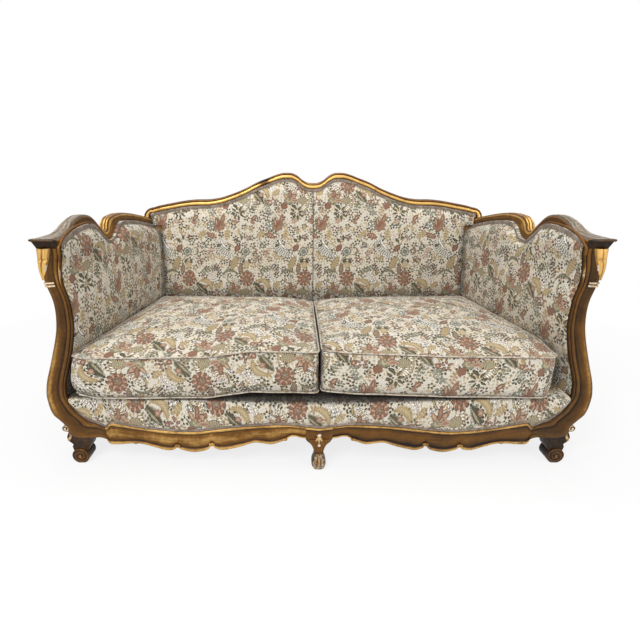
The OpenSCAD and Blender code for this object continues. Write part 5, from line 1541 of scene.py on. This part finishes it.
def inflate(name, points, faces, seams):
    """Fills the sewn cover with Blender's cloth under pressure. The corded seams hold their line."""
    mesh = bpy.data.meshes.new(name + "_cut")
    mesh.from_pydata((points * MM).tolist(), [], faces)
    o = put(name + "_cut", mesh)
    o.vertex_groups.new(name="seam").add(seams, 1.0, "REPLACE")
    cloth = o.modifiers.new("fill", "CLOTH")
    cloth.settings.vertex_group_mass = "seam"
    cloth.settings.use_pressure = True
    cloth.settings.uniform_pressure_force = 4.0
    cloth.settings.shrink_min = -0.012
    cloth.settings.effector_weights.gravity = 0
    cloth.settings.tension_stiffness = cloth.settings.compression_stiffness = 12
    cloth.settings.quality = 4
    cloth.point_cache.frame_start, cloth.point_cache.frame_end = 1, FILL_FRAMES
    scene = bpy.context.scene
    for f in range(FILL_FRAMES):
        scene.frame_set(f + 1)
    done = o.evaluated_get(bpy.context.evaluated_depsgraph_get()).data
    step = vertex_places(done) / MM - points
    scene.frame_set(1)
    bpy.data.objects.remove(o)
    bpy.data.meshes.remove(mesh)
    far = np.linalg.norm(step, axis=1)
    out = points + step * np.minimum(1, FILL_REACH / np.maximum(far, 1e-6))[:, None]
    # The crown keeps its height, and the sides stay between the arm, the back and the other cushion
    high = out[:, 2] > SEAM_TOP
    out[high, 2] = SEAM_TOP + (out[high, 2] - SEAM_TOP) * CROWN_H / (out[:, 2].max() - SEAM_TOP)
    out[:, 0] = np.clip(out[:, 0], points[:, 0].min() - 0.8, cushion_side(out[:, 1]) + 2.5)
    out[:, 1] = np.clip(out[:, 1], points[:, 1].min() - 8, points[:, 1].max() + 1.5)
    out[:, 2] = np.maximum(out[:, 2], CUSHION_LOW)
    return out


def loop(shell, path, radius, painted_shade_below):
    """A closed cord along a ring of points, pushed out by a third of its radius. Painted shade lies on it
    below a share of its radius."""
    sides = 10
    p = np.array(path)
    p[:, :2] += unit(p[:, :2] - p[:, :2].mean(0)) * radius * 0.35
    ahead = unit(np.roll(p, -1, 0) - np.roll(p, 1, 0))
    side = unit(np.cross(ahead, [0, 0, 1]))
    rings = circles(p, radius, side, np.cross(side, ahead), sides)
    rings = np.concatenate([rings, rings[:1]])
    height = np.sin(np.linspace(0, 2 * math.pi, sides, endpoint=False))
    start = shell.count
    shell.loft(rings, tone=np.where(height < painted_shade_below, -1.0, 0.0)[None, :], caps=False)
    last = start + (len(rings) - 1) * sides
    shell.faces = [tuple(start + (k - last) if k >= last else k for k in f)
                   if any(k >= last for k in f) else f for f in shell.faces]


for side_name, side in SIDES:
    cushion(side_name, side)


# Gimp braid
def strip(low, high, proud, node, ending="", side=1):
    """A flat braid between two rows of points, which stands out by proud."""
    out = np.array(proud)
    s = Shell()
    s.loft([[a, a + out * 0.6, mix(a, b, 0.15) + out, mix(a, b, 0.35) + out * 0.75,
             mix(a, b, 0.5) + out * 1.1, mix(a, b, 0.65) + out * 0.75, mix(a, b, 0.85) + out,
             b + out * 0.6, b] for a, b in zip(np.array(low), np.array(high))])
    s.make(node + "_braid" + ending, BRAID, "braid", node + ending, side)


def gimps():
    thick = CLOTH_T + GAP
    depth = BACK_PAD[0][1] * BACK_PAD_T + SOFT_GAP + GAP
    low, high = [], []
    for x in mirrored(np.concatenate([CREST_EDGE[:, 0], [CREST_HALF + 4, BACK_EAR_X - OVERRUN]])):
        top = back_top(abs(x)) - SOFT_GAP - GAP
        for row, z in ((high, top), (low, top - 12)):
            row.append([x, back_pad_y(z) - depth, z])
    strip(low, high, (0, -thick, 0), "crest_gimp")
    for side_name, side in SIDES:
        low, high = [], []
        for u in np.linspace(0, 1, 150):
            first, last = arm_pad_point(u, 0), arm_pad_point(u, ARM_PAD[2][0])
            for row, share in ((high, 0.02), (low, 0.8)):
                y, z = mix(first[0], last[0], share), mix(first[1], last[1], share)
                x = mix(arm_pad_outer(u, z), arm_pad_inner(u, z), ARM_PAD[0][1]) - SOFT_GAP
                row.append([x, y, z])
        strip(low, high, (-thick, 0, 0), "arm_gimp", "_" + side_name, side)
    low = [[x, bow(abs(x)) + BORDER[0][1] * APRON_LIP - GAP, border_low(abs(x)) + GAP]
           for x in mirrored(runs((0, SEAM_X, 150), (SEAM_X + 1, BORDER_END_X - 2, 24)))]
    strip(low, [[x, y, z + 8.4] for x, y, z in low], (0, -thick, 0), "border_gimp")


gimps()


# Hidden pieces and outer cloths
def copy_of(node, name, skin, bevel=0.0, plan=None, rose=(0, 0), shade=0.0):
    """A piece in the place of a plain CAD solid, with softened edges. plan names the two directions
    that the cloth's figure runs in."""
    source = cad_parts[node]
    mesh = source.data.copy()
    work = bmesh.new()
    work.from_mesh(mesh)
    bmesh.ops.remove_doubles(work, verts=work.verts, dist=1e-5)
    work.to_mesh(mesh)
    work.free()
    if plan:
        world = np.array(source.matrix_world)
        p = vertex_places(mesh) @ world[:3, :3].T + world[:3, 3]
        places = np.stack([p @ np.array(way) for way in plan], 1) - np.array(rose) * MM
        set_uv(mesh, places[loop_vertices(mesh)])
        set_mark(mesh, "shade", np.full(len(p), shade))
    mesh.materials.clear()
    o = put(name, mesh)
    if bevel:
        m = o.modifiers.new("edge", "BEVEL")
        m.width, m.segments, m.limit_method = bevel, 2, "ANGLE"
    declare(o, skin, "frame", [node])
    return o


def cloths():
    """The cloths behind and under the frame."""
    across, up, deep = (1, 0, 0), (0, 0.12, 1.0), (0, 1, 0)
    # The deck's cloth carries a painted shade of 0.2, for the shade under the cushions
    deck = copy_of("seat_deck", "seat_deck_pad", TAPESTRY, 0.006, (across, deep),
                   (-70, 0), 0.2)
    for node in ("seat_webbing", "back_webbing"):
        copy_of(node, node + "_straps", JUTE, bevel=0.0004)
    rails = ["front_rail_wood_left", "front_rail_wood_right", "side_rail_wood_left",
             "side_rail_wood_right", "back_seat_rail"]
    stiles = ["back_stile_wood_left", "back_stile_wood_right", "crest_rail_wood"]
    made = [("seat_hessian", JUTE, "jute", None, (0, 0), ["seat_webbing_straps"] + rails),
            ("back_hessian", JUTE, "jute", None, (0, 0), ["back_webbing_straps"] + stiles),
            ("dust_cover", DUST_CLOTH, "dust_cloth", None, (0, 0), rails),
            ("outside_back", TAPESTRY, "tapestry", ((-1, 0, 0), up), (-60, 430),
             stiles + ["back_seat_rail"])]
    for side_name, side in SIDES:
        made.append(("outside_arm_" + side_name, TAPESTRY, "tapestry", ((0, -side, 0), (0, 0, 1)),
                     (40, 400), [p + side_name for p in ("arm_rail_wood_", "front_post_wood_",
                                                         "side_rail_wood_", "back_stile_wood_")]))
    for node, skin, slot, plan, rose, held_by in made:
        o = copy_of(node, node + "_cloth", skin, plan=plan, rose=rose)


cloths()
inner_wood = ("back_center_upright", "back_lower_rail", "arm_dowels", "corner_blocks",
              "seat_cross_rail_left", "seat_cross_rail_right", "arm_tacking_rail_left",
              "arm_tacking_rail_right")
for skin, nodes in ((BEECH, inner_wood), (GILT_DARK, ("back_seat_rail", "rear_center_leg")),
                    (STEEL, ("corner_block_screws",))):
    for node in nodes:
        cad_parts[node].data.materials.clear()
        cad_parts[node].data.materials.append(skin)


# Floor, light and camera
# Each lamp's name, place, size and power
LAMPS = (("key", (-1.4, -2.8, 3.2), 1.7, 104), ("fill", (2.6, -2.6, 2.0), 2.0, 36),
         ("top", (0, 0.2, 3.4), 2.2, 54))


def stage():
    reach = 14
    mesh = bpy.data.meshes.new("floor")
    mesh.from_pydata([(-reach, -reach, 0), (reach, -reach, 0), (reach, reach, 0), (-reach, reach, 0)],
                     [], [(0, 1, 2, 3)])
    floor = put("floor", mesh)
    m, t, shader = material("pale_floor")
    t.feed(shader, {"Base Color": srgb(246, 246, 246), "Roughness": 0.9})
    light = t.node("Emission", (1, 1, 1, 1), 1.0)
    path = t.node("LightPath", out=None)
    seen = t.math("MAXIMUM", path.outputs["Is Camera Ray"], path.outputs["Is Glossy Ray"])
    far = t.vec("LENGTH", t.place(), out=1)
    share = t.span(far, 1.2, 2.4, 0.8, 1.0)
    blend = t.node("MixShader", t.times(seen, share), shader.outputs[0], light)
    output = next(n for n in m.node_tree.nodes if n.type == "OUTPUT_MATERIAL")
    m.node_tree.links.new(blend, output.inputs[0])
    mesh.materials.append(m)
    world = bpy.data.worlds.new("studio")
    bpy.context.scene.world = world
    world.use_nodes = True
    world.node_tree.nodes.clear()
    t = Tree(world.node_tree)
    path = t.node("LightPath", out=None)
    seen = t.math("MAXIMUM", path.outputs["Is Camera Ray"], path.outputs["Is Glossy Ray"])
    seen = t.math("MAXIMUM", seen, path.outputs["Is Transmission Ray"])
    strength = t.span(seen, 0.0, 1.0, 0.25, 1.0)
    back = t.node("Background", (1, 1, 1, 1), strength)
    output = t.node("OutputWorld", out=None)
    world.node_tree.links.new(back, output.inputs[0])
    for name, place, size, power in LAMPS:
        lamp = bpy.data.lights.new(name, "AREA")
        lamp.energy, lamp.size = power, size
        o = put(name, lamp)
        o.location = place
        o.rotation_euler = (Vector((0, 0, 0.5)) - Vector(place)).to_track_quat("-Z", "Y").to_euler()


# The picture's width, the lens's focal length and the sideways shift of the frame, in pixels
FRAME_PX, FOCAL_PX, SHIFT_PX = 640, 430, 23
SENSOR = 36.0


def camera():
    data = bpy.data.cameras.new("camera")
    data.sensor_width, data.lens = SENSOR, FOCAL_PX / FRAME_PX * SENSOR
    data.shift_x = SHIFT_PX / FRAME_PX
    o = put("camera", data)
    o.location = (-0.076, -1.28 - CENTER_Y * MM, 1.015)
    o.rotation_euler = (math.radians(70), 0, 0)
    bpy.context.scene.camera = o


stage()
camera()
bpy.context.scene.view_settings.view_transform = "Standard"
